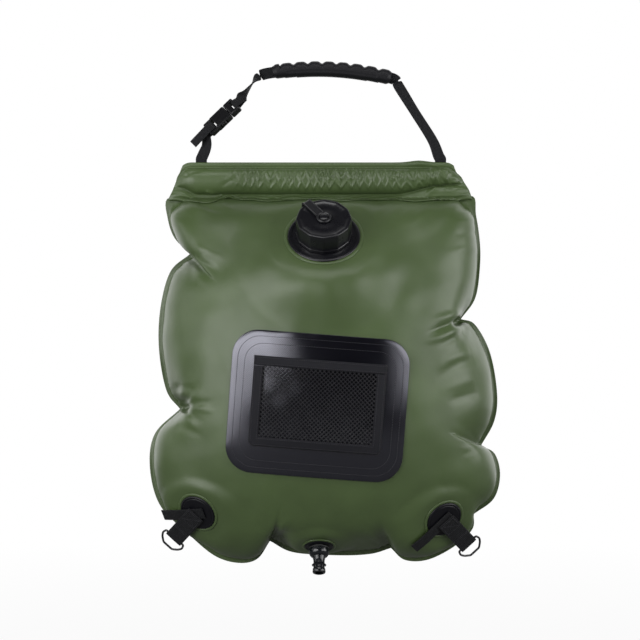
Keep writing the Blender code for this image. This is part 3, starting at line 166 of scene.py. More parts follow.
# Pocket
PATCH_CENTRE = (-0.0036, -0.3480)
PATCH_HALF_WIDTH = 0.0912
PATCH_HALF_HEIGHT = 0.0736
PATCH_CORNER = 0.0270
PATCH_TURN = math.radians(-4.3)
PATCH_THICK = 0.0012
PATCH_LIFT = 0.0012
POCKET_CENTRE_V = 0.0010
POCKET_HALF_WIDTH = 0.0680
POCKET_HALF_HEIGHT = 0.0465
BINDING_WIDTH = 0.0100
BINDING_THICK = 0.0016
HEM_LIFT = 0.0003
POCKET_BULGE = 0.0090
NET_PITCH = 0.0043
NET_STRAND = 0.00040

# Corner anchors
ANCHOR_CENTRES = {
    "left": Vector((-0.1285, -0.0520, -0.4610)),
    "right": Vector((0.1285, -0.0520, -0.4680)),
}
ANCHOR_AXES = {
    "left": Vector((-0.42, -0.78, -0.46)).normalized(),
    "right": Vector((0.42, -0.78, -0.46)).normalized(),
}
RING_DIRECTIONS = {"left": (-0.665, -0.746), "right": (0.665, -0.720)}
TAIL_DIRECTIONS = {"left": (-0.994, -0.109), "right": (-0.72, -0.69)}
DISC_RADIUS = 0.0200
DISC_THICK = 0.0018
RING_STRAP_LENGTH = 0.0470
RING_STRAP_LAP = 0.0220
TAIL_BACK = 0.0090
TAIL_LENGTH = 0.0440
TAIL_SAG = 0.0015
RING_WIRE = 0.00115
RING_CLEAR = 0.0004
RING_HALF_WIDTH = 0.0122
RING_FAR_HALF = 0.0060
RING_SWELL = 0.0012
RING_DEPTH = 0.0160

# Outlet
OUTLET_CENTRE = Vector((-0.002, -0.0445, -0.4970))
OUTLET_TILT = math.radians(-62.0)
OUTLET_FLANGE_RADIUS = 0.0150
OUTLET_FLANGE_THICK = 0.0016
OUTLET_SEAL_THICK = 0.0014
OUTLET_STUD = 0.0062
OUTLET_BORE = 0.0042
OUTLET_INSIDE = 0.0100
OUTLET_DOME = 0.0108
OUTLET_LENGTH = 0.0300
OUTLET_TUBE = 0.0060
OUTLET_TIP = 0.0068
OUTLET_BARB = 0.0076

# Buckle
BUCKLE_CENTRE = Vector((-0.0995, 0.0, -0.0375))
BUCKLE_SLOPE = math.radians(-136.0)
BUCKLE_ROLL = math.radians(40.0)
PLUG_BAR_X = -0.0125 + 0.00105
SOCKET_LENGTH = 0.0290
SOCKET_BAR_X = SOCKET_LENGTH - 0.0065
BAR_LOOP = 0.0024

# Camera, matched to the photograph: a level view of this width at the seam
VIEW_CENTRE = (-0.001, -0.260)
VIEW_DISTANCE = 2.2
VIEW_WIDTH = 0.685
PICTURE = 640.0


# Points, frames and meshes
def smooth_step(value):
    t = np.clip(value, 0.0, 1.0)
    return t * t * (3.0 - 2.0 * t)


def curve_through(points, step):
    """Rows every step metres along a smooth curve; columns past the third ride along."""
    rows = np.array(points, float)
    rows = np.vstack([2 * rows[0] - rows[1], rows, 2 * rows[-1] - rows[-2]])
    t = np.linspace(0.0, 1.0, 25)[:-1, None]
    fine = []
    for a, b, c, d in zip(rows, rows[1:], rows[2:], rows[3:]):
        bend = 2 * a - 5 * b + 4 * c - d
        fine.append(0.5 * (2 * b + (c - a) * t + bend * t**2 + (3 * b - a - 3 * c + d) * t**3))
    fine = np.vstack(fine + [rows[-2:-1]])
    width = min(3, fine.shape[1])
    run = run_along(fine[:, :width])
    count = max(2, round(run[-1] / step))
    at = np.linspace(0.0, run[-1], count + 1)
    return np.column_stack([np.interp(at, run, fine[:, k]) for k in range(fine.shape[1])])


def frame_matrix(origin, x_axis, y_axis, z_axis):
    return Matrix.Translation(origin) @ Matrix((x_axis, y_axis, z_axis)).transposed().to_4x4()


def facing(tilt):
    return Vector((0.0, -math.cos(tilt), math.sin(tilt)))


def axis_frame(centre, axis):
    """Local X to the right, local Y up the film and local Z out of it."""
    right = Vector((1.0, 0.0, 0.0))
    return frame_matrix(centre, right, axis.cross(right).normalized(), axis)


def anchor_frame(centre, axis, direction):
    """Local Z out of the film, and local X along a strap that leaves in a direction."""
    along = Vector((direction[0], 0.0, direction[1]))
    along.y = -(along.x * axis.x + along.z * axis.z) / axis.y
    along.normalize()
    return frame_matrix(centre, along, axis.cross(along), axis)


FILLER_FRAME = axis_frame(FILLER_CENTRE, facing(FILLER_TILT))
OUTLET_FRAME = axis_frame(OUTLET_CENTRE, facing(OUTLET_TILT))


def moved_by(matrix, points):
    """Points moved by a matrix, as one row or as rows of rings."""
    array = np.array(matrix)
    points = np.asarray(points, float)
    moved = points.reshape(-1, 3) @ array[:3, :3].T + array[:3, 3]
    return moved.reshape(points.shape)


def unit_rows(rows):
    return rows / np.linalg.norm(rows, axis=1)[:, None]


def run_along(path):
    """Distance along a path to each of its points."""
    steps = np.linalg.norm(np.diff(path, axis=0), axis=1)
    return np.concatenate([[0.0], np.cumsum(steps)])


def circle_angles(count, first=0.0):
    return [2.0 * math.pi * (k + first) / count for k in range(count)]


def placed(name, data):
    """A new object in the scene."""
    obj = bpy.data.objects.new(name, data)
    bpy.context.scene.collection.objects.link(obj)
    return obj


def new_object(name, points, faces, material, uvs=None):
    """A mesh object from points and index lists, with an optional UV for each point."""
    mesh = bpy.data.meshes.new(name)
    mesh.from_pydata(np.asarray(points, float).tolist(), [], faces)
    if uvs is not None:
        corners = np.zeros(len(mesh.loops), int)
        mesh.loops.foreach_get("vertex_index", corners)
        layer = mesh.uv_layers.new(name="surface")
        layer.data.foreach_set("uv", np.asarray(uvs, float).reshape(-1, 2)[corners].ravel())
    mesh.shade_smooth()
    mesh.materials.append(material)
    return placed(name, mesh)


def sharpen(obj, degrees):
    obj.data.set_sharp_from_angle(angle=math.radians(degrees))
    return obj


def grid_faces(rows, columns, closed_rows=False, closed_columns=True):
    """Faces of a grid of points, row by row."""
    faces = []
    last_row = rows if closed_rows else rows - 1
    last_column = columns if closed_columns else columns - 1
    for i in range(last_row):
        a, b = i * columns, (i + 1) % rows * columns
        for k in range(last_column):
            j = (k + 1) % columns
            faces.append((a + k, a + j, b + j, b + k))
    return faces


def tube(name, rows, material, closed=False, uvs=None, sharp=None):
    """A closed tube through rings of points, capped unless it is a ring itself."""
    rows = np.asarray(rows, float)
    count, columns = rows.shape[:2]
    faces = grid_faces(count, columns, closed_rows=closed)
    if not closed:
        faces.append(tuple(range(columns))[::-1])
        faces.append(tuple(range((count - 1) * columns, count * columns)))
    obj = new_object(name, rows.reshape(-1, 3), faces, material, uvs)
    out_facing(obj)
    if sharp:
        sharpen(obj, sharp)
    return obj


def out_facing(obj):
    """Turn a closed mesh's faces outwards."""
    bm = bmesh.new()
    bm.from_mesh(obj.data)
    bmesh.ops.recalc_face_normals(bm, faces=bm.faces)
    bm.to_mesh(obj.data)
    bm.free()


def face_side(obj, side):
    """Turn a sheet's faces to the front, side -1, or to the back, side 1."""
    obj.data.update()
    total = sum((p.normal * p.area for p in obj.data.polygons), Vector())
    if total.y * side < 0.0:
        obj.data.flip_normals()


def give_wall(obj, thickness):
    """A wall under a sheet's own surface."""
    wall = obj.modifiers.new("wall", "SOLIDIFY")
    wall.thickness = thickness
    wall.offset = -1.0
    return obj


def rounded_edges(obj, width, degrees):
    """Round the edges that turn by more than an angle."""
    edge = obj.modifiers.new("edge", "BEVEL")
    edge.width = width
    edge.segments = 2
    edge.limit_method = "ANGLE"
    edge.angle_limit = math.radians(degrees)
    return obj


def round_rings(section, segments):
    """Rings of points round local Z from a section of (radius, height) at each angle."""
    rings = []
    for angle in circle_angles(segments):
        c, s = math.cos(angle), math.sin(angle)
        rings.append([(r * c, r * s, h) for r, h in section(angle)])
    return np.array(rings)


def swept_round(name, section, segments, material, matrix, sharp=32.0):
    """A closed ring-shaped solid whose section changes with the angle."""
    rows = moved_by(matrix, round_rings(section, segments))
    return tube(name, rows, material, closed=True, sharp=sharp)


def turned(name, profile, material, matrix, segments=96, sharp=30.0):
    """A closed turned solid from a ring-shaped profile of (radius, height)."""
    return swept_round(name, lambda angle: profile, segments, material, matrix, sharp)


def lathe(name, profile, material, matrix, segments, sharp=30.0):
    """A closed turned solid whose profile starts and ends on its axis."""
    inner = profile[1:-1]
    columns = len(inner)
    faces = grid_faces(segments, columns, closed_rows=True, closed_columns=False)
    points = round_rings(lambda angle: inner, segments).reshape(-1, 3)
    points = np.vstack([points, [(0.0, 0.0, profile[0][1]), (0.0, 0.0, profile[-1][1])]])
    top = segments * columns
    for i in range(segments):
        j = (i + 1) % segments
        faces.append((top, i * columns, j * columns))
        faces.append((top + 1, j * columns + columns - 1, i * columns + columns - 1))
    obj = new_object(name, moved_by(matrix, points), faces, material)
    out_facing(obj)
    return sharpen(obj, sharp)


def settle(obj):
    """Turn an object with a modifier into a plain mesh with its place in its points."""
    graph = bpy.context.evaluated_depsgraph_get()
    mesh = bpy.data.meshes.new_from_object(obj.evaluated_get(graph))
    mesh.transform(obj.matrix_world)
    name = obj.name
    bpy.data.objects.remove(obj, do_unlink=True)
    return placed(name, mesh)


def painted_only(mesh, material):
    """Give a solid's mesh one material in place of its own."""
    mesh.materials.clear()
    mesh.materials.append(material)


def dress(obj, body, slot, *nodes):
    """Let a piece ride on a body and stand for CAD nodes, which it hides; the slot is not used."""
    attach(obj, body)
    if nodes:
        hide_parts(*nodes)
    return obj


# Materials
class Shader:
    """A Principled material with short calls for its nodes."""

    def __init__(self, name, colour, roughness, **values):
        self.material = bpy.data.materials.new(name)
        self.material.use_nodes = True
        self.tree = self.material.node_tree
        self.shader = self.tree.nodes["Principled BSDF"]
        self.shader.inputs["Base Color"].default_value = (*colour, 1.0)
        self.shader.inputs["Roughness"].default_value = roughness
        for key, value in values.items():
            self.shader.inputs[key.replace("_", " ")].default_value = value
        self.height = None

    def node(self, kind, **values):
        node = self.tree.nodes.new(kind)
        for key, value in values.items():
            setattr(node, key, value)
        return node

    def link(self, source, target):
        self.tree.links.new(source, target)

    def place(self, scale=(1.0, 1.0, 1.0), turn=(0.0, 0.0, 0.0), uv=False):
        """Object coordinates or the piece's own UV map, scaled and turned."""
        if uv:
            source = self.node("ShaderNodeUVMap", uv_map="surface").outputs["UV"]
        else:
            source = self.node("ShaderNodeTexCoord").outputs["Object"]
        mapping = self.node("ShaderNodeMapping")
        mapping.inputs["Scale"].default_value = scale
        mapping.inputs["Rotation"].default_value = turn
        self.link(source, mapping.inputs["Vector"])
        return mapping.outputs["Vector"]

    def noise(self, scale, detail=4.0, roughness=0.5, where=None):
        node = self.node("ShaderNodeTexNoise")
        for socket, value in (("Scale", scale), ("Detail", detail), ("Roughness", roughness)):
            node.inputs[socket].default_value = value
        self.link(where or self.place(), node.inputs["Vector"])
        return node.outputs["Fac"]

    def waves(self, where, scale, direction):
        node = self.node("ShaderNodeTexWave", bands_direction=direction)
        node.inputs["Scale"].default_value = scale
        self.link(where, node.inputs["Vector"])
        return node.outputs["Fac"]

    def math(self, operation, a, b):
        """A sum or product of two sockets or numbers."""
        node = self.node("ShaderNodeMath", operation=operation)
        for socket, value in zip(node.inputs, (a, b)):
            if isinstance(value, (int, float)):
                socket.default_value = value
            else:
                self.link(value, socket)
        return node.outputs[0]

    def spread(self, source, low, high, start=0.0, stop=1.0):
        """Map a value between start and stop onto low to high."""
        node = self.node("ShaderNodeMapRange")
        for socket, value in zip(node.inputs[1:5], (start, stop, low, high)):
            socket.default_value = value
        self.link(source, node.inputs["Value"])
        return node.outputs["Result"]

    def colours(self, source, *stops):
        """Colours by position along a 0 to 1 value."""
        ramp = self.node("ShaderNodeValToRGB")
        elements = ramp.color_ramp.elements
        while len(elements) < len(stops):
            elements.new(0.5)
        for element, (position, colour) in zip(elements, stops):
            element.position = position
            element.color = (*colour, 1.0)
        self.link(source, ramp.inputs["Fac"])
        self.link(ramp.outputs["Color"], self.shader.inputs["Base Color"])

    def rough(self, source, low, high):
        self.link(self.spread(source, low, high), self.shader.inputs["Roughness"])

    def bump(self, source, distance, strength=1.0):
        """Add a height to the surface; calls stack."""
        node = self.node("ShaderNodeBump")
        node.inputs["Strength"].default_value = strength
        node.inputs["Distance"].default_value = distance
        self.link(source, node.inputs["Height"])
        if self.height:
            self.link(self.height, node.inputs["Normal"])
        self.height = node.outputs["Normal"]
        self.link(self.height, self.shader.inputs["Normal"])


def darker(colour, share):
    return tuple(c * share for c in colour)


def film_finish():
    """Satin coated film over a fine plain weave, with a little cloudiness and crinkle."""
    colour = tuple(bpy.context.scene.shower_bag_looks.film_colour)
    s = Shader("coated_film", colour, 0.40)
    cloud = s.noise(14.0, 5.0, 0.55)
    s.colours(cloud, (0.30, darker(colour, 0.86)), (0.55, colour), (0.80, darker(colour, 1.16)))
    s.rough(s.noise(60.0, 3.0), 0.36, 0.45)
    weave = s.math("ADD", s.waves(s.place(), 340.0, "X"), s.waves(s.place(), 340.0, "Z"))
    s.bump(weave, 0.00002, 0.35)
    s.bump(s.noise(90.0, 3.0, 0.5), 0.0004, 0.35)
    return s.material


def patch_finish():
    """Glossy black coated film, embossed with a fine diagonal lattice."""
    tint = (0.88, 0.88, 1.0, 1.0)
    s = Shader(
        "patch_gloss", (0.003, 0.003, 0.005), 0.14, Specular_IOR_Level=1.0, Specular_Tint=tint
    )
    turn = (0.0, 0.0, math.radians(45.0))
    across = s.waves(s.place(uv=True, turn=turn), 190.0, "X")
    along = s.waves(s.place(uv=True, turn=turn), 190.0, "Y")
    s.bump(s.math("MAXIMUM", across, along), 0.00005, 0.8)
    s.rough(s.noise(45.0, 4.0), 0.11, 0.18)
    return s.material


def tape_finish():
    """Woven binding tape: fine cross ribs with a soft twill."""
    s = Shader("binding_tape", (0.012, 0.012, 0.016), 0.70, Sheen_Weight=0.04, Specular_IOR_Level=0.18)
    ribs = s.waves(s.place(uv=True), 420.0, "X")
    twill = s.waves(s.place(uv=True, turn=(0.0, 0.0, math.radians(35.0))), 300.0, "Y")
    s.bump(s.math("ADD", ribs, twill), 0.00010, 0.7)
    cover = s.math("MULTIPLY", ribs, twill)
    s.colours(cover, (0.0, (0.007, 0.007, 0.009)), (0.9, (0.021, 0.021, 0.028)))
    return s.material


def webbing_finish():
    """Black woven webbing with lengthwise cords and cross picks."""
    s = Shader("webbing", (0.012, 0.012, 0.014), 0.66, Sheen_Weight=0.04, Specular_IOR_Level=0.15)
    cords = s.waves(s.place(uv=True), 5.5 / WEB_WIDTH / 2.0, "X")
    picks = s.waves(s.place(uv=True), 620.0, "Y")
    s.bump(s.math("MULTIPLY", cords, picks), 0.00018, 0.8)
    s.colours(
        s.math("MULTIPLY", cords, s.noise(500.0, 2.0)),
        (0.0, (0.004, 0.004, 0.005)),
        (0.6, (0.018, 0.019, 0.021)),
    )
    return s.material


def moulded_finish(name, colour, roughness, grain=0.00003, specular=0.5):
    """Moulded plastic or rubber: a fine even grain and faint handling marks."""
    s = Shader(name, colour, roughness, Specular_IOR_Level=specular)
    s.bump(s.noise(900.0, 2.0), grain, 0.5)
    s.rough(s.noise(35.0, 4.0, 0.6), max(0.02, roughness - 0.07), roughness + 0.09)
    return s.material


def ring_finish():
    """Blackened wire with small worn spots."""
    s = Shader("blackened_wire", (0.012, 0.012, 0.014), 0.30)
    s.colours(s.noise(180.0, 4.0, 0.6), (0.42, (0.008, 0.008, 0.009)), (0.75, (0.045, 0.045, 0.05)))
    s.bump(s.noise(700.0, 2.0), 0.00003, 0.6)
    return s.material


def rod_finish():
    """Grey drawn tube with fine lines along it."""
    s = Shader("rod_grey", (0.33, 0.33, 0.33), 0.48)
    s.bump(s.noise(60.0, 3.0, 0.5, s.place(scale=(1.0, 25.0, 25.0))), 0.00005, 0.6)
    s.rough(s.noise(30.0, 3.0), 0.40, 0.58)
    return s.material


# Name, colour and roughness, and for some their grain and specular level
MOULDED = {
    "grip": ("grip_rubber", (0.007, 0.007, 0.009), 0.50, 0.00006, 0.25),
    "buckle": ("buckle_acetal", (0.006, 0.006, 0.007), 0.30),
    "filler": ("filler_plastic", (0.005, 0.005, 0.007), 0.27),
    "tether": ("tether_rubber", (0.008, 0.008, 0.010), 0.38),
    "seal": ("seal_rubber", (0.020, 0.020, 0.020), 0.70),
    "disc": ("anchor_disc", (0.003, 0.003, 0.005), 0.40, 0.00003, 0.25),
    "outlet": ("outlet_plastic", (0.005, 0.006, 0.008), 0.18),
    "net": ("net_yarn", (0.010, 0.010, 0.013), 0.40),
    "thread": ("stitching", (0.020, 0.020, 0.025), 0.62),
}
MAKERS = {
    "film": film_finish, "patch": patch_finish, "tape": tape_finish, "webbing": webbing_finish,
    "ring": ring_finish, "rod": rod_finish,
}
FINISHES = {}


def finish(name):
    """Each finish is made once."""
    if name not in FINISHES:
        FINISHES[name] = MAKERS[name]() if name in MAKERS else moulded_finish(*MOULDED[name])
    return FINISHES[name]


# Geometry Nodes
def node_tree(name, inputs):
    """A tree with geometry in and out and named inputs; returns it with its end nodes."""
    tree = bpy.data.node_groups.new(name, "GeometryNodeTree")
    tree.interface.new_socket("Geometry", in_out="INPUT", socket_type="NodeSocketGeometry")
    tree.interface.new_socket("Geometry", in_out="OUTPUT", socket_type="NodeSocketGeometry")
    for label, kind, value in inputs:
        socket = tree.interface.new_socket(label, in_out="INPUT", socket_type=kind)
        if value is not None:
            socket.default_value = value
    start = tree.nodes.new("NodeGroupInput")
    end = tree.nodes.new("NodeGroupOutput")
    return tree, start, end


def joined(tree, *links):
    """Links given as (node, its output, node, its input)."""
    for source, output, target, socket in links:
        tree.links.new(source.outputs[output], target.inputs[socket])


def painted(tree, start, source, output, end):
    """Make a tree's instances real and give them its material, as its last two steps."""
    realize = tree.nodes.new("GeometryNodeRealizeInstances")
    paint = tree.nodes.new("GeometryNodeSetMaterial")
    joined(
        tree,
        (source, output, realize, "Geometry"),
        (realize, "Geometry", paint, "Geometry"),
        (start, "Material", paint, "Material"),
        (paint, "Geometry", end, "Geometry"),
    )


def strand_tree():
    """Edges become round strands of a chosen radius."""
    tree, start, end = node_tree(
        "strands",
        (
            ("Radius", "NodeSocketFloat", 0.0004),
            ("Sides", "NodeSocketInt", 5),
            ("Material", "NodeSocketMaterial", None),
        ),
    )
    new = tree.nodes.new
    to_curve = new("GeometryNodeMeshToCurve")
    circle = new("GeometryNodeCurvePrimitiveCircle")
    to_mesh = new("GeometryNodeCurveToMesh")
    to_mesh.inputs["Fill Caps"].default_value = True
    joined(
        tree,
        (start, "Geometry", to_curve, "Mesh"),
        (start, "Sides", circle, "Resolution"),
        (start, "Radius", circle, "Radius"),
        (to_curve, "Curve", to_mesh, "Curve"),
        (circle, "Curve", to_mesh, "Profile Curve"),
    )
    painted(tree, start, to_mesh, "Mesh", end)
    return tree


def stitch_tree():
    """A short thread lies along the path at every pitch."""
    tree, start, end = node_tree(
        "stitches",
        (
            ("Pitch", "NodeSocketFloat", 0.0026),
            ("Length", "NodeSocketFloat", 0.0018),
            ("Radius", "NodeSocketFloat", 0.0003),
            ("Material", "NodeSocketMaterial", None),
        ),
    )
    new = tree.nodes.new
    to_curve = new("GeometryNodeMeshToCurve")
    to_points = new("GeometryNodeCurveToPoints")
    to_points.mode = "LENGTH"
    instance = new("GeometryNodeInstanceOnPoints")
    line = new("GeometryNodeCurvePrimitiveLine")
    line.mode = "DIRECTION"
    line.inputs["Direction"].default_value = (0.0, 0.0, 1.0)
    half = new("ShaderNodeMath")
    half.operation = "MULTIPLY"
    half.inputs[1].default_value = -0.5
    offset = new("ShaderNodeCombineXYZ")
    bead = new("GeometryNodeResampleCurve")
    bead.inputs["Count"].default_value = 4
    circle = new("GeometryNodeCurvePrimitiveCircle")
    circle.inputs["Resolution"].default_value = 5
    thread = new("GeometryNodeCurveToMesh")
    thread.inputs["Fill Caps"].default_value = True
    joined(
        tree,
        (start, "Geometry", to_curve, "Mesh"),
        (to_curve, "Curve", to_points, "Curve"),
        (start, "Pitch", to_points, "Length"),
        (start, "Length", line, "Length"),
        (start, "Length", half, 0),
        (half, 0, offset, "Z"),
        (offset, 0, line, "Start"),
        (line, "Curve", bead, "Curve"),
        (bead, "Curve", thread, "Curve"),
        (start, "Radius", circle, "Radius"),
        (circle, "Curve", thread, "Profile Curve"),
        (to_points, "Points", instance, "Points"),
        (thread, "Mesh", instance, "Instance"),
        (to_points, "Rotation", instance, "Rotation"),
    )
    painted(tree, start, instance, "Instances", end)
    return tree


TREES = {}


def grown(name, points, edges, maker, material, **values):
    """Run a Geometry Nodes tree over a mesh of edges and keep the result as a plain mesh."""
    if maker not in TREES:
        TREES[maker] = maker()
    tree = TREES[maker]
    mesh = bpy.data.meshes.new(name)
    mesh.from_pydata(np.asarray(points, float).tolist(), edges, [])
    obj = placed(name, mesh)
    modifier = obj.modifiers.new(name, "NODES")
    modifier.node_group = tree
    values["Material"] = material
    for item in tree.interface.items_tree:
        if item.in_out == "INPUT" and item.name in values:
            modifier[item.identifier] = values[item.name]
    result = settle(obj)
    result.data.shade_smooth()
    return result


def stitched(name, paths, pitch=0.0026, length=0.0019, radius=0.00028):
    """Rows of stitches along paths of points."""
    points, edges = [], []
    for path in paths:
        first = len(points)
        points += [tuple(p) for p in path]
        edges += [(first + i, first + i + 1) for i in range(len(path) - 1)]
    return grown(
        name, points, edges, stitch_tree, finish("thread"), Pitch=pitch, Length=length, Radius=radius
    )


# Bag film
SEAM_STEP = 0.0030
FILM_STEP = 0.0030
RAY_STEPS = 56
EVEN_REACH = 40
EVEN_SPREAD = 13.0
FLANGE_RIPPLE = 0.0009
TOP_CORNERS = ((-0.1579, -0.1380), (0.1570, -0.1360))
CORNER_FLANGE = 0.0092
CORNER_SPREAD = 0.0085

# Places where a fitting holds the film flat: centre, direction, radius and blend beyond it
SEATS = (
    (FILLER_CENTRE, facing(FILLER_TILT), FLANGE_RADIUS + 0.006, 0.055),
    (OUTLET_CENTRE, facing(OUTLET_TILT), OUTLET_FLANGE_RADIUS + 0.005, 0.024),
    (ANCHOR_CENTRES["left"], ANCHOR_AXES["left"], DISC_RADIUS + 0.006, 0.032),
    (ANCHOR_CENTRES["right"], ANCHOR_AXES["right"], DISC_RADIUS + 0.006, 0.032),
)


def seam_points():
    """The cut edge as (x, z) rows, with a point on every pinch."""
    rows = []
    for before, lobe in zip(LOBES[-1:] + LOBES[:-1], LOBES):
        rows.append(curve_through((before[-1], *lobe), SEAM_STEP)[:-1])
    return np.vstack(rows)


def inner_radius(directions):
    """Radius of the bag's smooth form, inside the pinches, along each direction."""
    x = np.abs(directions[..., 0]) / BAG_INNER_HALF_WIDTH
    z = np.abs(directions[..., 1]) / BAG_INNER_HALF_HEIGHT
    n = BAG_INNER_SQUARENESS
    return (x**n + z**n) ** (-1.0 / n)


def near_seam(fraction):
    """0 over the middle and 1 at the seam, where the form runs out into the real outline."""
    return smooth_step((fraction - 0.74) / 0.24)


def crown(fraction, pinch):
    """Height of the full bag at a share of the way to the seam, less its groove at a pinch."""
    full = (1.0 - np.minimum(1.0, fraction) ** CROWN) ** (1.0 / CROWN)
    groove = PINCH_GROOVE * pinch * np.exp(-(((1.0 - fraction) / PINCH_REACH) ** 2))
    return BAG_HALF_DEPTH * full * (1.0 - groove)


class SeamTable:
    """What each ray from the bag's centre to the seam needs, point by point round the seam."""

    def __init__(self):
        self.edge = seam_points()
        offset = self.edge - np.array(BAG_CENTRE)
        self.radius = np.linalg.norm(offset, axis=1)
        self.direction = offset / self.radius[:, None]
        self.weld = self.radius - FLANGE_WIDTH
        self.smooth = inner_radius(self.direction)
        self.pinch = np.clip((self.smooth - self.weld) / PINCH_DEPTH, 0.0, 1.0)
        self.fractions = np.sin(np.linspace(0.0, math.pi / 2.0, RAY_STEPS))
        share = near_seam(self.fractions)[None, :]
        reach = self.weld[:, None] * share + self.smooth[:, None] * (1.0 - share)
        reach = reach * self.fractions[None, :]
        height = crown(self.fractions[None, :], self.pinch[:, None])
        steps = np.hypot(np.diff(reach, axis=1), np.diff(height, axis=1))
        run = np.concatenate([np.zeros((len(reach), 1)), np.cumsum(steps, axis=1)], axis=1)
        self.length = run[:, -1]
        self.share_of_length = run / run[:, -1:]
        self.cut_to_shape()

    def cut_to_shape(self):
        """The flat cut: its radius is a ray's length over the crown, evened out round the seam."""
        reach = EVEN_REACH
        window = np.exp(-0.5 * (np.arange(-reach, reach + 1) / EVEN_SPREAD) ** 2)
        window /= window.sum()
        padded = np.concatenate([self.length[-reach:], self.length, self.length[:reach]])
        self.flat_radius = np.convolve(padded, window, "valid")
        weld = self.spots(self.weld)
        steps = np.linalg.norm(np.roll(weld, -1, axis=0) - weld, axis=1)
        following = np.roll(self.flat_radius, -1)
        rise, middle = following - self.flat_radius, (following + self.flat_radius) / 2.0
        turn = np.sqrt(np.maximum(steps**2 - rise**2, (0.3 * steps) ** 2)) / middle
        turn *= 2.0 * math.pi / turn.sum()
        real = np.unwrap(np.arctan2(self.direction[:, 1], self.direction[:, 0]))
        self.flat_angle = real[0] - np.concatenate([[0.0], np.cumsum(turn)[:-1]])
        self.flat_angle += (real - self.flat_angle).mean()
        self.twist = real - self.flat_angle
        self.count = len(self.edge)

    def spots(self, radius):
        """Places (x, z) on each ray at a distance from the bag's centre."""
        return np.array(BAG_CENTRE) + self.direction * radius[:, None]


def moved_to_seats(points):
    """Points near a seat drop onto its plane, and blend out beyond its rim, sooner above it."""
    held = np.zeros(len(points))
    for centre, normal, radius, blend in SEATS:
        normal = np.array(normal)
        offset = points - np.array(centre)
        height = offset @ normal
        flat = np.linalg.norm(offset - height[:, None] * normal, axis=1)
        near = (flat < radius + blend) & (np.abs(height) < 0.06)
        above = np.clip(offset[:, 2] / np.maximum(flat, 1e-6), 0.0, 1.0)
        keep = smooth_step((flat - radius) / (blend * (1.0 - 0.6 * above)))
        shift = np.where(near, (-GAP - height) * (1.0 - keep), 0.0)
        points = points + shift[:, None] * normal
        held = np.maximum(held, np.where(near, smooth_step((radius + 0.3 * blend - flat) / 0.006), 0.0))
    return points, held


def inside_points(boundary, table):
    """Rows of points over the flat cut, each row half a step beside the last."""
    low, high = boundary.min(axis=0), boundary.max(axis=0)
    rows = np.arange(low[1], high[1], FILM_STEP * math.sqrt(3.0) / 2.0)
    inside = []
    for i, v in enumerate(rows):
        u = np.arange(low[0] + (i % 2) * FILM_STEP / 2.0, high[0], FILM_STEP)
        inside.append(np.column_stack([u, np.full(len(u), v)]))
    inside = np.vstack(inside)
    at, distance = on_rays(inside, table)
    return inside[distance < ray_value(table.flat_radius, at) - FILM_STEP * 0.7]


def film_mesh(side, table):
    """Points, flat cut, faces, hold and ease of one film panel, with its weld flange."""
    around = table.count
    angles = np.column_stack([np.cos(table.flat_angle), np.sin(table.flat_angle)])
    boundary = table.flat_radius[:, None] * angles
    flat = np.vstack([boundary, inside_points(boundary, table)])
    seam = list(range(around))
    result = delaunay_2d_cdt([Vector(p) for p in flat], [], [seam], 1, 1e-7)
    flat = np.array([tuple(v) for v in result[0]])
    faces = [tuple(f) for f in result[2]]
    if [vert[0] for vert in result[3][:around]] != seam:
        raise RuntimeError("the seam's points lost their order")
    points = raised(flat, table, side)
    points[:around] = seam_line(table, side)
    rim = flange_rings(table, side)
    first = len(points)
    share = (flange_width(table) / table.flat_radius)[:, None]
    flat_rim = [boundary * (1.0 + share * k / 2.0) for k in (1, 2)]
    points = np.vstack([points] + rim)
    flat = np.vstack([flat] + flat_rim)
    index = [*range(around), *range(first, first + 2 * around)]
    faces += [tuple(index[corner] for corner in face) for face in grid_faces(3, around)]
    hold = np.ones(len(points))
    hold[around:first] = 0.0
    ease = np.zeros(len(points))
    ease[:first] = slack_share(flat[:first], table)
    if side < 0:
        points[around:first], seat = moved_to_seats(points[around:first])
        hold[around:first] = seat
    return points, flat, faces, hold, ease


def slack_share(flat, table):
    """Where the film has room to wrinkle: most by the pinches, and a little all along."""
    at, distance = on_rays(flat, table)
    inset = ray_value(table.flat_radius, at) - distance
    pinch = ray_value(table.pinch, at)
    return np.clip(pinch * np.exp(-inset / 0.050) + 0.25 * np.exp(-inset / 0.018), 0.0, 1.0)


def on_rays(flat, table):
    """Where points of the flat cut fall in the seam's table, as fractional indices, and how far."""
    angle = np.arctan2(flat[:, 1], flat[:, 0])
    falling = table.flat_angle
    whole = np.concatenate([falling, [falling[0] - 2.0 * math.pi]])
    turned_angle = falling[0] - np.mod(falling[0] - angle, 2.0 * math.pi)
    at = np.interp(-turned_angle, -whole, np.arange(len(whole)))
    return at, np.linalg.norm(flat, axis=1)


def ray_value(values, at):
    """Values of the seam's table at fractional indices."""
    low = np.floor(at).astype(int)
    share = (at - low).reshape((-1,) + (1,) * (values.ndim - 1))
    count = len(values)
    return values[low % count] * (1.0 - share) + values[(low + 1) % count] * share


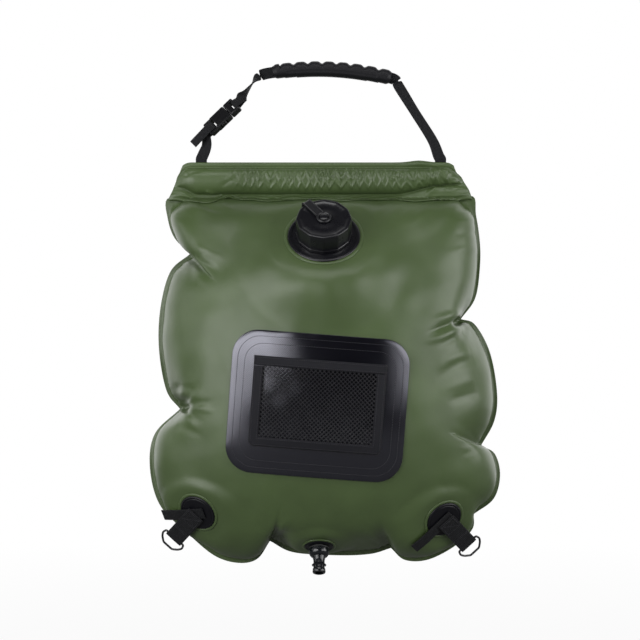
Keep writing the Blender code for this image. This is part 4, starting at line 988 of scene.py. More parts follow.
def raised(flat, table, side):
    """Points of the flat cut laid over the crown of the full bag."""
    at, distance = on_rays(flat, table)
    angle = np.arctan2(flat[:, 1], flat[:, 0])
    part = np.clip(distance / ray_value(table.flat_radius, at), 0.0, 1.0)
    lengths = ray_value(table.share_of_length, at)
    position = np.array([np.interp(p, row, table.fractions) for p, row in zip(part, lengths)])
    real = angle + ray_value(table.twist, at) * smooth_step(part / 0.85)
    direction = np.column_stack([np.cos(real), np.sin(real)])
    weld, pinch = ray_value(table.weld, at), ray_value(table.pinch, at)
    smooth = inner_radius(direction)
    share = near_seam(position)
    reach = position * (weld * share + smooth * (1.0 - share))
    height = GAP / 2.0 + FILM + crown(position, pinch)
    spot = np.array(BAG_CENTRE) + direction * reach[:, None]
    return np.column_stack([spot[:, 0], side * height, spot[:, 1]])


def seam_line(table, side):
    """The inner edge of the weld."""
    spot = table.spots(table.weld)
    return np.column_stack([spot[:, 0], np.full(len(spot), side * (GAP / 2 + FILM)), spot[:, 1]])


def flange_width(table):
    """Width of the weld flange, broader at the two top corners that the sleeve's ends cover."""
    width = np.full(table.count, FLANGE_WIDTH)
    for corner in TOP_CORNERS:
        away = np.linalg.norm(table.edge - np.array(corner), axis=1)
        width += CORNER_FLANGE * np.exp(-((away / CORNER_SPREAD) ** 2))
    return width


def flange_ripple(table):
    """The flange waves a little to front and back between the pinches."""
    run = np.arange(table.count)
    wave = np.sin(run * 0.13) * 0.6 + np.sin(run * 0.32 + 1.3) * 0.4
    return FLANGE_RIPPLE * wave


def flange_rings(table, side):
    """Two rings of points outside the weld, thinning towards the cut edge."""
    rings = []
    for k in (1, 2):
        spot = table.spots(table.weld + flange_width(table) * k / 2.0)
        depth = side * (GAP / 2 + FILM * (0.6, 0.15)[k - 1]) + flange_ripple(table) * k / 2.0
        rings.append(np.column_stack([spot[:, 0], depth, spot[:, 1]]))
    return rings


def in_picture(points):
    """Where points fall in the photograph's square of pixels."""
    scale = VIEW_WIDTH / PICTURE * (1.0 + points[:, 1] / VIEW_DISTANCE)
    across = PICTURE / 2.0 + (points[:, 0] - VIEW_CENTRE[0]) / scale
    down = PICTURE / 2.0 - (points[:, 2] - VIEW_CENTRE[1]) / scale
    return np.column_stack([across, down])


def stroke_height(spots, line, height, width):
    """A ridge or a crease along a line in the picture, tapering at its far end."""
    path = curve_through([(*p, 0.0) for p in line], 2.0)[:, :2]
    low, high = path.min(axis=0) - 3.0 * width, path.max(axis=0) + 3.0 * width
    near = np.flatnonzero(np.all((spots > low) & (spots < high), axis=1))
    gap = np.linalg.norm(spots[near, None, :] - path[None, :, :], axis=2)
    at = gap.argmin(axis=1)
    along = at / (len(path) - 1)
    taper = smooth_step(along / 0.15 + 0.35) * smooth_step((1.0 - along) / 0.55)
    out = np.zeros(len(spots))
    out[near] = height * taper * np.exp(-((gap.min(axis=1) / width) ** 2))
    return out


def pinch_fans(table, side):
    """Short folds that fan out from every pinch of the seam, as lines in the picture."""
    chance = np.random.default_rng(23 if side < 0 else 29)
    fans = []
    seam = table.spots(table.weld)
    pinch = table.pinch
    deepest = (pinch >= np.roll(pinch, 1)) & (pinch > np.roll(pinch, -1)) & (pinch > 0.22)
    for index in np.flatnonzero(deepest):
        root = seam[index]
        inward = -table.direction[index]
        side_way = np.array((-inward[1], inward[0]))
        for k, turn in enumerate((-62.0, -38.0, -17.0, 4.0, 24.0, 45.0, 66.0)):
            angle = math.radians(turn + chance.uniform(-6.0, 6.0))
            reach = chance.uniform(0.022, 0.046) * (1.0 - 0.4 * abs(turn) / 66.0)
            way = inward * math.cos(angle) + side_way * math.sin(angle)
            start = root + way * 0.004
            bend = side_way * chance.uniform(-0.004, 0.004)
            ends = [start, start + way * reach * 0.5 + bend, start + way * reach]
            line = in_picture(np.array([(x, -0.05, z) for x, z in ends]))
            height = (-1.0 if k % 2 else 1.0) * chance.uniform(0.0006, 0.0014) * pinch[index]
            fans.append((line.tolist(), height, chance.uniform(2.2, 3.6)))
    return fans


# Folds read off the photograph: a line in its pixels, a height and a half width in pixels
FRONT_FOLDS = (
    (((462, 321), (450, 324), (438, 328), (424, 334)), -0.0026, 2.3),
    (((464, 332), (450, 340), (436, 347)), -0.0022, 2.6),
    (((466, 326), (452, 332), (438, 338), (420, 343)), 0.0024, 3.2),
    (((459, 313), (446, 317), (428, 321)), 0.0018, 3.4),
    (((470, 352), (452, 358), (434, 370)), 0.0014, 4.0),
    (((474, 360), (454, 367), (434, 382)), -0.0012, 4.0),
    (((478, 393), (462, 397), (444, 403)), -0.0012, 3.6),
    (((474, 379), (456, 385), (438, 393)), 0.0010, 4.5),
    (((474, 196), (462, 197), (448, 200)), 0.0008, 2.6),
    (((476, 207), (462, 208), (450, 211)), -0.0008, 2.6),
    (((199, 202), (208, 207), (216, 210), (226, 214)), -0.0015, 2.4),
    (((222, 202), (227, 207), (232, 214)), 0.0010, 2.6),
    (((476, 219), (462, 220), (446, 221)), 0.0008, 2.8),
    (((477, 233), (464, 233), (450, 236)), -0.0007, 3.0),
    (((476, 250), (462, 250), (444, 254)), 0.0007, 3.2),
    (((390, 202), (378, 211), (364, 224)), 0.0009, 4.0),
    (((406, 206), (398, 216), (390, 230)), -0.0007, 4.0),
    (((430, 206), (420, 216), (404, 228)), 0.0008, 4.5),
    (((176, 386), (186, 387), (197, 390)), -0.0009, 2.0),
    (((176, 393), (187, 394), (200, 396)), 0.0010, 2.2),
    (((178, 400), (190, 401), (206, 402)), -0.0012, 2.2),
    (((178, 414), (190, 417), (204, 424)), 0.0010, 2.8),
    (((176, 425), (190, 430), (206, 438)), -0.0008, 3.2),
    (((188, 206), (200, 210), (216, 214)), 0.0009, 3.0),
    (((176, 214), (190, 218), (206, 226)), -0.0008, 3.2),
    (((190, 253), (204, 262), (222, 274)), -0.0016, 3.2),
    (((184, 262), (196, 272), (210, 286)), 0.0012, 4.0),
    (((196, 246), (212, 252), (230, 262)), 0.0012, 4.5),
)


def folded(points, hold, table, side):
    """Start the film's wrinkles: the photograph's folds in front, fans at the pinches all round."""
    spots = in_picture(points * (1.0, 1.0 if side < 0 else -1.0, 1.0))
    height = np.zeros(len(points))
    for line, rise, width in (*(FRONT_FOLDS if side < 0 else ()), *pinch_fans(table, side)):
        height += stroke_height(spots, line, rise, width)
    across = np.abs(points[:, 0] - PATCH_CENTRE[0]) - PATCH_HALF_WIDTH
    up = np.abs(points[:, 2] - PATCH_CENTRE[1]) - PATCH_HALF_HEIGHT
    bare = smooth_step(np.maximum(across, up) / 0.02 + 0.5)
    chance = np.random.default_rng(31)
    for _ in range(26):
        way = chance.normal(size=2)
        way *= chance.uniform(60.0, 240.0) / np.linalg.norm(way)
        height += 0.00007 * bare * np.sin(points[:, [0, 2]] @ way + chance.uniform(0.0, 6.3))
    return height * (1.0 - hold)


def fan_triangles(faces):
    """Triangles of faces, each fanned from its first corner."""
    return np.array([(f[0], f[k], f[k + 1]) for f in faces for k in range(1, len(f) - 1)])


def summed(count, where, values):
    """Add rows of values up at their points."""
    return np.column_stack([np.bincount(where, values[:, k], count) for k in range(3)])


def point_normals(points, triangles):
    """Normals at the points, weighted by the triangles' areas."""
    a, b, c = (points[triangles[:, k]] for k in range(3))
    across = np.cross(b - a, c - a)
    total = np.zeros_like(points)
    for k in range(3):
        total += summed(len(points), triangles[:, k], across)
    return total / np.maximum(np.linalg.norm(total, axis=1), 1e-12)[:, None]


def film_springs(points, triangles, ease):
    """Threads of the film with their lengths, and stiffeners across each pair of triangles."""
    corners = np.sort(np.vstack([triangles[:, [0, 1]], triangles[:, [1, 2]], triangles[:, [2, 0]]]))
    far = np.concatenate([triangles[:, 2], triangles[:, 0], triangles[:, 1]])
    order = np.lexsort((corners[:, 1], corners[:, 0]))
    corners, far = corners[order], far[order]
    same = np.all(corners[1:] == corners[:-1], axis=1)
    braces = np.column_stack([far[:-1][same], far[1:][same]])
    threads = corners[np.concatenate([[True], ~same])]
    run = points[threads[:, 1]] - points[threads[:, 0]]
    length = np.linalg.norm(run, axis=1)
    offset = points[threads[:, 0]][:, [0, 2]] - np.array(BAG_CENTRE)
    tangent = np.column_stack([-offset[:, 1], offset[:, 0]])
    tangent /= np.maximum(np.linalg.norm(tangent, axis=1), 1e-6)[:, None]
    share = np.abs(np.sum(run[:, [0, 2]] * tangent, axis=1)) / length
    extra = ease[threads].mean(axis=1) * share**2
    brace_length = np.linalg.norm(points[braces[:, 1]] - points[braces[:, 0]], axis=1)
    return threads, length, extra, braces, brace_length


def filled(obj, hold, ease, table, side, look):
    """Fill the bag: the film hangs on its seam, has slack by the pinches and is pushed outwards."""
    points = np.array([v.co for v in obj.data.vertices])
    triangles = fan_triangles([tuple(p.vertices) for p in obj.data.polygons])
    threads, length, extra, braces, brace_length = film_springs(points, triangles, ease)
    length = length * (1.0 + look.film_slack * extra)
    normals = point_normals(points, triangles)
    start = points + normals * folded(points, hold, table, side)[:, None]
    points = start.copy()
    count = len(points)
    free = (1.0 - hold)[:, None]
    links = np.concatenate([threads, braces])
    rest = np.concatenate([length, brace_length])
    strength = np.concatenate([np.ones(len(threads)), np.full(len(braces), look.film_bending)])
    weight = np.bincount(links[:, 0], strength, count) + np.bincount(links[:, 1], strength, count)
    for number in range(look.fill_steps):
        if number % 10 == 0:
            normals = point_normals(points, triangles)
        run = points[links[:, 1]] - points[links[:, 0]]
        now = np.linalg.norm(run, axis=1)
        pull = 0.5 * (now - rest) / now * strength
        move = run * pull[:, None]
        shift = summed(count, links[:, 0], move) - summed(count, links[:, 1], move)
        shift *= 1.6 / np.maximum(weight, 1.0)[:, None]
        shift += normals * look.pressure * MICROMETRE + (start - points) * look.film_memory
        points += shift * free
    obj.data.vertices.foreach_set("co", points.ravel())
    obj.data.update()


FILM_SURFACE = {}


def film_depth(x, z, side=-1):
    """How far the finished film stands from the seam plane at a place seen from the front."""
    hit = FILM_SURFACE[side].ray_cast(Vector((x, side * 0.3, z)), Vector((0.0, -side, 0.0)))
    return abs(hit[0].y) if hit[0] else 0.0


def build_panel(table, side, node):
    """One filled film panel, which stands for a panel of the solids."""
    points, flat, faces, hold, ease = film_mesh(side, table)
    obj = new_object(node.replace("panel", "film"), points, faces, finish("film"))
    face_side(obj, side)
    filled(obj, hold, ease, table, side, bpy.context.scene.shower_bag_looks)
    FILM_SURFACE[side] = BVHTree.FromPolygons(
        [v.co.copy() for v in obj.data.vertices], [tuple(p.vertices) for p in obj.data.polygons]
    )
    dress(obj, "bag", "film", node)


def build_film():
    """The front and back film panels, each with its half of the weld flange."""
    table = SeamTable()
    for side, node in ((-1, "front_panel"), (1, "back_panel")):
        build_panel(table, side, node)


# Top sleeve
SLEEVE_COLUMNS = 340
SKIRT_ROWS = 18
TUBE_ROWS = 38
LIP_ROWS = 8

# Left and right edges of the top at these heights, read off the photograph
SHOULDER_Z = (-0.1400, -0.1295, -0.1209, -0.1124, -0.1038, -0.0952, -0.0913)
SHOULDER_LEFT = (-0.1648, -0.1626, -0.1584, -0.1552, -0.1530, -0.1504, -0.1480)
SHOULDER_RIGHT = (0.1637, 0.1616, 0.1584, 0.1530, 0.1487, 0.1440, 0.1420)

# Folds over the sleeve: a line in the photograph's pixels, a height and a half width
SLEEVE_FOLDS = (
    (((182, 164), (186, 171), (192, 178)), 0.0014, 1.8),
    (((179, 187), (190, 190), (199, 196)), -0.0013, 1.5),
    (((179, 190), (190, 194), (199, 199), (206, 203)), 0.0013, 1.6),
    (((176, 197), (184, 197), (192, 199)), 0.0009, 1.5),
    (((208, 191), (214, 193), (222, 196)), 0.0013, 1.5),
    (((186, 176), (194, 172), (206, 171)), -0.0008, 2.2),
    (((459, 177), (447, 183), (435, 190)), 0.0013, 1.3),
    (((440, 181), (433, 187), (425, 193), (416, 202)), 0.0015, 2.2),
    (((436, 198), (428, 206), (417, 216)), -0.0012, 2.2),
    (((462, 187), (453, 188), (443, 190)), 0.0009, 1.8),
    (((464, 193), (456, 193), (446, 192)), -0.0009, 1.8),
    (((392, 180), (399, 172), (406, 178)), 0.0016, 2.2),
    (((428, 175), (435, 167), (443, 174)), 0.0016, 2.2),
    (((454, 166), (445, 169), (436, 172)), 0.0014, 2.4),
    (((222, 186), (236, 178), (250, 174)), -0.0006, 2.4),
    (((226, 176), (240, 184), (256, 187)), 0.0006, 2.4),
)


def crumple(x, z):
    """Zigzag ridges that cross where the film lies over the rod, fading out to the left."""
    strength = smooth_step((x + 0.105) / 0.05) * (1.0 - 0.5 * smooth_step((x - 0.075) / 0.03))
    strength *= 0.75 + 0.25 * np.sin(x * 61.0 + 0.8)
    height = np.zeros(len(x))
    for middle, swing, phase, rise, width in (
        (-0.1055, 0.0052, 0.0, 0.0017, 0.0016),
        (-0.1055, 0.0052, 0.5, 0.0017, 0.0016),
        (-0.1160, 0.0040, 0.25, 0.0014, 0.0018),
    ):
        turns = x / 0.0094 + phase + 0.22 * np.sin(x * 83.0 + 5.0 * phase) + 0.10 * np.sin(x * 171.0)
        line = middle + swing * (4.0 * np.abs(turns % 1.0 - 0.5) - 1.0) + 0.0008 * np.sin(x * 47.0)
        height += rise * np.exp(-(((z - line) / width) ** 2))
    return strength * (height - 0.0006 * np.exp(-(((z + 0.109) / 0.009) ** 2)))


def weld_line(x, side=-1):
    """Height of the edge where the sleeve is welded to the bag, wavy in front."""
    if side > 0:
        return WELD_Z + 0.0010 * np.sin(x * 47.0)
    left = 0.0040 * np.exp(-(((x + 0.114) / 0.010) ** 2)) + 0.0011 * np.sin(x * 80.0)
    notch = 0.0042 * np.exp(-(((x + 0.0965) / 0.0075) ** 2))
    ends = 0.0025 * smooth_step((np.abs(x + 0.001) - 0.128) / 0.022)
    return WELD_Z - left + notch + ends + 0.0006 * np.sin(x * 171.0 + 1.0)


def tube_edge(x):
    """Height of the lower edge of the tube round the rod, which rises at both ends."""
    right = 0.0105 * smooth_step((x - 0.074) / 0.056)
    left = 0.0070 * smooth_step((-0.126 - x) / 0.020)
    return TUBE_CENTRE_Z - TUBE_HALF_HEIGHT + right + left


def spread(x, z):
    """Places along the sleeve moved outwards to the photograph's shoulders."""
    left = np.interp(z, SHOULDER_Z, SHOULDER_LEFT) / SLEEVE_LEFT
    right = np.interp(z, SHOULDER_Z, SHOULDER_RIGHT) / SLEEVE_RIGHT
    on_left = x * (1.0 + (left - 1.0) * (x / SLEEVE_LEFT) ** 3)
    on_right = x * (1.0 + (right - 1.0) * (x / SLEEVE_RIGHT) ** 3)
    return np.where(x < 0.0, on_left, on_right)


def sleeve_row(x, side):
    """Depth and height of the sleeve's film at one place along it, from its weld to the lip."""
    edge = min(x - SLEEVE_LEFT, SLEEVE_RIGHT - x)
    bulge = math.sin(min(1.0, max(0.0, edge) / 0.020) * math.pi / 2.0) ** 0.7
    low = float(weld_line(x, side))
    tube_low = float(tube_edge(x))
    tube_high = TUBE_CENTRE_Z + TUBE_HALF_HEIGHT
    slack = 0.55 * (tube_low - TUBE_CENTRE_Z + TUBE_HALF_HEIGHT)
    rows = []
    for z in np.linspace(low, tube_low - 0.0008, SKIRT_ROWS):
        inset = min(1.0, (z - low) / 0.0018)
        belly = slack * bulge * math.sin(math.pi * (z - low) / (tube_low - low))
        cover = film_depth(float(spread(x, z)), z - SKIRT_LEAD, side)
        depth = max(cover * inset**0.5, 0.0014) + belly
        bead = 0.0015 * math.exp(-(((z - low - 0.0014) / 0.0009) ** 2))
        bead += 0.0012 * math.exp(-(((z - low - 0.0062) / 0.0010) ** 2))
        rows.append((depth + 0.0006 + bead * bulge, z))
    join = rows[-1][0]
    for angle in np.radians(np.linspace(-80.0, 80.0, TUBE_ROWS)):
        depth = bulge * TUBE_HALF_DEPTH * math.cos(angle) ** 0.75
        z = (tube_high + tube_low + (tube_high - tube_low) * math.sin(angle)) / 2.0
        rest = join * max(0.0, 1.0 - (z - tube_low) / 0.006)
        rows.append((max(0.0013, depth, rest), z))
    lip_low = SLEEVE_TOP - LIP_HEIGHT
    swell = 1.0 + 1.6 * math.exp(-(((x - 0.106) / 0.013) ** 2))
    for z in np.linspace(lip_low + 0.0006, SLEEVE_TOP - 0.0004, LIP_ROWS):
        lift = math.sin((z - lip_low) / LIP_HEIGHT * math.pi)
        rise = 0.0022 * (swell - 1.0) / 1.6 * (z - lip_low) / LIP_HEIGHT
        rows.append((0.0014 + 0.0013 * lift * bulge * swell, z + rise))
    rows.append((0.0005, rows[-1][1] + 0.0004))
    return rows


def shoulders(points):
    """Spread the sleeve's ends outwards to the photograph's shoulders."""
    z = points[:, 2]
    points[:, 0] = spread(points[:, 0], z)
    reach = np.maximum((-0.138 - points[:, 0]) / 0.013, (points[:, 0] - 0.132) / 0.013)
    top = smooth_step((z + 0.1100) / 0.018)
    points[:, 2] -= 0.0065 * np.clip(reach, 0.0, 1.0) ** 2.5 * top
    return points


def build_sleeve():
    """One film from the front weld over the rod to the back weld, crumpled and folded."""
    middle = np.linspace(SLEEVE_LEFT + 0.012, SLEEVE_RIGHT - 0.012, SLEEVE_COLUMNS)
    ends = np.array([0.0, 0.0007, 0.0018, 0.0034, 0.0054, 0.0076, 0.0098])
    xs = np.concatenate([SLEEVE_LEFT + ends, middle, SLEEVE_RIGHT - ends[::-1]])
    sides = []
    for side in (-1, 1):
        rows = [sleeve_row(x, side) for x in xs]
        columns = len(rows[0])
        points = np.array([(x, side * d, z) for x, row in zip(xs, rows) for d, z in row])
        strips = fan_triangles(grid_faces(len(xs), columns, closed_columns=False))
        normals = point_normals(points, strips)
        normals *= np.sign(np.sum(normals * (0.0, side, 0.0), axis=1) + 1e-9)[:, None]
        height = crumple(points[:, 0], points[:, 2])
        if side < 0:
            spots = in_picture(points)
            for line, rise, width in SLEEVE_FOLDS:
                height += stroke_height(spots, line, rise, width)
        depth = np.abs(points[:, 1])
        height *= smooth_step((depth - 0.0016) / 0.004)
        points += normals * height[:, None]
        sides.append(shoulders(points).reshape(len(xs), columns, 3))
    rows = np.concatenate([sides[0], sides[1][:, ::-1]], axis=1)
    count, columns = rows.shape[:2]
    faces = grid_faces(count, columns, closed_columns=False)
    obj = new_object("sleeve_film", rows.reshape(-1, 3), faces, finish("film"))
    out_facing(obj)
    give_wall(obj, FILM)
    dress(obj, "bag", "film", "top_sleeve")


# Webbing
WEAVE_STEP = 0.00062
WEAVE_PITCH = 0.0022


def strap_section(width, thick, phase):
    """One ring of a woven strap: a flat oval whose lanes rise and fall along its length."""
    ring, across = [], []
    for angle in circle_angles(24, 0.5):
        c, s = math.cos(angle), math.sin(angle)
        u = math.copysign(abs(c) ** 0.42, c)
        t = math.copysign(abs(s) ** 0.40, s)
        lane = math.floor((u + 1.0) * 2.49)
        lift = 1.0 + 0.16 * math.cos(phase + math.pi * lane) * min(1.0, abs(t) * 1.5)
        ring.append((u * width / 2.0, t * thick / 2.0 * lift))
        across.append((u + 1.0) / 2.0 * width)
    return ring, across


def webbing(name, route, width=WEB_WIDTH):
    """A woven strap along a route of (point, direction of its width)."""
    rows = curve_through([(*p, *s) for p, s in route], WEAVE_STEP)
    path, sides = rows[:, :3], rows[:, 3:]
    along = unit_rows(np.gradient(path, axis=0))
    sides = unit_rows(sides - along * np.sum(sides * along, axis=1)[:, None])
    up = np.cross(along, sides)
    run = run_along(path)
    rings, uvs = [], []
    for i in range(len(path)):
        end = min(run[i], run[-1] - run[i])
        round_off = 0.55 + 0.45 * min(1.0, end / 0.0008)
        phase = 2.0 * math.pi * run[i] / WEAVE_PITCH
        ring, across = strap_section(width, WEB_THICK * round_off, phase)
        rings.append([path[i] + sides[i] * a + up[i] * b for a, b in ring])
        uvs.append([(u, run[i]) for u in across])
    return tube(name, rings, finish("webbing"), uvs=uvs)


def grip_line(t):
    """The grip's middle line from its left end, 0, to its right end, 1."""
    chord = GRIP_LEFT.lerp(GRIP_RIGHT, t)
    normal = Vector((GRIP_LEFT.z - GRIP_RIGHT.z, 0.0, GRIP_RIGHT.x - GRIP_LEFT.x)).normalized()
    return chord + normal * GRIP_RISE * (1.0 - (2.0 * t - 1.0) ** 2)


def grip_up(t):
    along = (grip_line(t + 0.01) - grip_line(t - 0.01)).normalized()
    return ACROSS.cross(along)


def buckle_frame():
    """Local X from the plug into the socket, Y across the buckle and Z out of its face."""
    along = Vector((math.cos(BUCKLE_SLOPE), 0.0, math.sin(BUCKLE_SLOPE)))
    flat = Vector((-along.z, 0.0, along.x))
    across = flat * math.cos(BUCKLE_ROLL) + Vector((0.0, -1.0, 0.0)) * math.sin(BUCKLE_ROLL)
    return frame_matrix(BUCKLE_CENTRE, along, across, along.cross(across))


BUCKLE = buckle_frame()


def with_sides(route):
    return [(Vector(p), Vector(s).normalized()) for p, s in route]


def bar_loop(bar_x, start, turn):
    """Webbing laid round one of the buckle's bars, as (x, z) in the buckle's own frame."""
    points = []
    for i in range(11):
        angle = math.radians(start - turn * i / 10)
        points.append((bar_x + BAR_LOOP * math.cos(angle), BAR_LOOP * math.sin(angle)))
    return points


def on_buckle(points):
    """Route points from (x, z) in the buckle's own frame, with the width across it."""
    across = BUCKLE.to_3x3() @ ACROSS
    return [(BUCKLE @ Vector((x, 0.0, z)), across) for x, z in points]


def handle_route():
    """From the right end through the grip and the twist to the plug's bar and back."""
    route = with_sides(RIGHT_ROUTE)
    for i in range(11):
        t = 1.03 - 1.10 * i / 10
        route.append((grip_line(t), grip_up(t)))
    bar = PLUG_BAR_X
    loop = [(bar - 0.0065, 0.0011), (bar - 0.0032, 0.0016), *bar_loop(bar, 105.0, 215.0)]
    loop += [(bar - 0.0045, -0.0016), (bar - 0.0075, -0.0010), (bar - 0.0120, -0.0010)]
    return route + with_sides(TWIST_ROUTE) + on_buckle(loop)


def lower_route():
    """From the left end round the socket's bar and out again as the doubled tail."""
    end = SOCKET_LENGTH
    loop = [(end + 0.0050, -0.0034), (end - 0.0005, -0.0029)]
    loop += bar_loop(SOCKET_BAR_X, -75.0, 210.0)
    loop += [(end - 0.0005, 0.0029), (end + 0.0060, 0.0026), (end + 0.0220, 0.0016)]
    return with_sides(LOWER_ROUTE) + on_buckle(loop)


def rod_loop(x):
    """A sewn loop round the rod that rises through the sleeve to the swing line."""
    reach = ROD_RADIUS + GAP + WEB_THICK / 2.0
    side = Vector((1.0, 0.0, 0.0))
    route = []
    for i in range(15):
        angle = math.radians(50.0 - 310.0 * i / 14)
        route.append((Vector((x, reach * math.cos(angle), ROD_Z + reach * math.sin(angle))), side))
    route.append((Vector((x, -0.0008, ROD_Z + reach + 0.0020)), side))
    route.append((Vector((x, 0.0, ROD_Z + reach + 0.0055)), side))
    return route


def build_straps():
    """Each strap is one length from its loop round the rod, turning above the swing line towards the
    grip or the buckle.
    """
    for name, x, route, nodes in (
        ("handle_webbing", STRAP_X, handle_route(), ("handle_strap", "strap_end_right")),
        ("lower_webbing", -STRAP_X, lower_route(), ("lower_strap", "strap_end_left")),
    ):
        obj = webbing(name, rod_loop(x) + route)
        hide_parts(*nodes)
        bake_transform(obj)


# Grip
def grip_section(t, angle):
    """Half sizes of the grip at a place along it and round it."""
    c, s = math.cos(angle), math.sin(angle)
    end = min(t, 1.0 - t)
    taper = 0.78 + 0.22 * float(smooth_step(end / 0.035))
    height = GRIP_HALF_HEIGHT * taper
    depth = GRIP_HALF_DEPTH * taper
    y = depth * math.copysign(abs(c) ** 0.86, c)
    z = height * math.copysign(abs(s) ** 0.86, s)
    place = t * GRIP_NOTCHES * 1.06 - 0.5
    notch = math.exp(-(((place - round(place)) / 0.17) ** 2)) if 0.06 < t < 0.94 else 0.0
    if s < 0.0:
        z += 0.0024 * notch * abs(s) ** 0.7
        y *= 1.0 - 0.14 * notch * abs(s)
    ledge = sum(float(smooth_step((abs(t - 0.5) - far) / 0.006)) for far in (0.40, 0.30))
    if s > 0.0:
        z -= 0.0006 * ledge * s
    groove = math.exp(-(((s - 0.30) / 0.09) ** 2)) if 0.12 < t < 0.88 else 0.0
    y *= 1.0 - 0.07 * groove
    return y, z


def build_grip():
    """The rubber grip as one closed tube, drawn in a little at its two ends."""
    rows = []
    for i in range(GRIP_SECTIONS + 1):
        t = i / GRIP_SECTIONS
        middle, up = grip_line(t), grip_up(t)
        ring = []
        for angle in circle_angles(GRIP_SIDES):
            y, z = grip_section(t, angle)
            ring.append(middle + ACROSS * y + up * z)
        rows.append(ring)
    ends = []
    for t, ring in ((0.0, rows[0]), (1.0, rows[-1])):
        ends.append([grip_line(t) + (p - grip_line(t)) * 0.84 for p in ring])
    rows = [ends[0]] + rows + [ends[1]]
    obj = tube("grip", rows, finish("grip"), sharp=40.0)
    dress(obj, "handle", "grip_rubber", "handle_grip")


# Buckle
def softened_copy(node, name, material):
    """A merged copy of a CAD node with its edges rounded."""
    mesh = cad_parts[node].data.copy()
    painted_only(mesh, material)
    bm = bmesh.new()
    bm.from_mesh(mesh)
    bmesh.ops.remove_doubles(bm, verts=bm.verts, dist=0.00001)
    bmesh.ops.dissolve_limit(bm, angle_limit=math.radians(1.0), verts=bm.verts, edges=bm.edges)
    bm.to_mesh(mesh)
    bm.free()
    mesh.shade_smooth()
    return rounded_edges(sharpen(placed(name, mesh), 40.0), 0.0003, 30.0)


def build_buckle():
    """The buckle's four mouldings, from the solids."""
    for node, body in (
        ("buckle_socket", "handle"),
        ("buckle_plug", "handle"),
        ("buckle_prong_left", "prong_left"),
        ("buckle_prong_right", "prong_right"),
    ):
        obj = softened_copy(node, node + "_moulding", finish("buckle"))
        dress(obj, body, "buckle_plastic", node)


# Filler
def cap_profile(angle):
    """The cap's section: a flat foot, softened lands, a crisp rim and a shallow dish."""
    lands = math.cos(math.pi / CAP_LANDS)
    turn = (angle % (2 * math.pi / CAP_LANDS)) - math.pi / CAP_LANDS
    outside = CAP_RADIUS * (lands / math.cos(turn) * 0.75 + 0.25)
    low, top, dish = CAP_BOTTOM, CAP_TOP, CAP_TOP - CAP_DISH
    points = [(outside - 0.0010, low), (outside - 0.0002, low + 0.0003), (outside, low + 0.0010)]
    points += [(outside, low + 0.0035), (outside - 0.0003, low + 0.0039)]
    points += [(outside - 0.0003, top - 0.0014), (outside - 0.0004, top - 0.0008)]
    points += [(outside - 0.0007, top - 0.0003), (outside - 0.0012, top), (outside - 0.0030, top)]
    points += [(outside - 0.0045, top - 0.0005), (outside - 0.0062, dish), (0.0125, dish)]
    points += [(0.0115, dish + 0.0003), (0.0020, dish + 0.0003), (0.0020, dish - CAP_PLATE)]
    points += [(CAP_BORE, dish - CAP_PLATE), (CAP_BORE, low)]
    return points


def neck_profile(angle):
    """The neck's section with its flange, and a thread that turns with the angle."""
    rim, thick, root = FLANGE_RADIUS, FLANGE_THICK, NECK_ROOT
    points = [(rim - 0.0005, 0.0), (rim - 0.0001, 0.0004), (rim, 0.0009), (rim - 0.0004, 0.0014)]
    points += [(rim - 0.0014, thick), (rim - 0.0036, thick), (rim - 0.0041, thick - 0.0004)]
    points += [(root + 0.0060, thick - 0.0004), (root + 0.0052, thick), (root + 0.0012, thick)]
    points.append((root, thick + 0.0012))
    for i in range(45):
        z = 0.0050 + 0.0145 * i / 44
        ridge = 0.5 + 0.5 * math.cos(2.0 * math.pi * z / THREAD_PITCH - angle)
        points.append((root + 0.0010 * ridge**1.5 * min(1.0, i / 5.0, (44 - i) / 5.0), z))
    points += [(root - 0.0004, NECK_HEIGHT), (NECK_BORE, NECK_HEIGHT)]
    points += [(NECK_BORE, -SPIGOT_DEPTH), (root, -SPIGOT_DEPTH), (root, 0.0)]
    return points


def rim_ring(name, matrix, radius, width, height):
    """A welded rim of film round a fitting."""
    profile = []
    for angle in circle_angles(12):
        profile.append((radius + width * math.cos(angle), height * math.sin(angle)))
    dress(turned(name, profile, finish("film"), matrix, 84, None), "bag", "film")


def tether_points():
    """The tether's middle line from the cap's centre over its edge to the flange."""
    half = TETHER_THICK / 2.0
    edge = CAP_RADIUS + GAP * 2 + half
    high, low = CAP_TOP + GAP + half + 0.0002, FLANGE_THICK + GAP + half
    return [
        (0.0066, high), (0.0200, high), (edge - 0.0030, high + 0.0002), (edge - 0.0006, high - 0.0010),
        (edge, high - 0.0045), (edge, 0.0085), (edge + 0.0006, 0.0042), (edge + 0.0024, low),
        (FLANGE_RADIUS - 0.0012, low),
    ]


# The tether's section in shares of its half width and its thickness, with a bead on both edges
TETHER_SECTION = (
    (-1.0, -0.5), (-0.98, 0.55), (-0.90, 0.80), (-0.80, 0.72), (-0.74, 0.40), (0.0, 0.36),
    (0.74, 0.40), (0.80, 0.72), (0.90, 0.80), (0.98, 0.55), (1.0, -0.5), (0.0, -0.5),
)


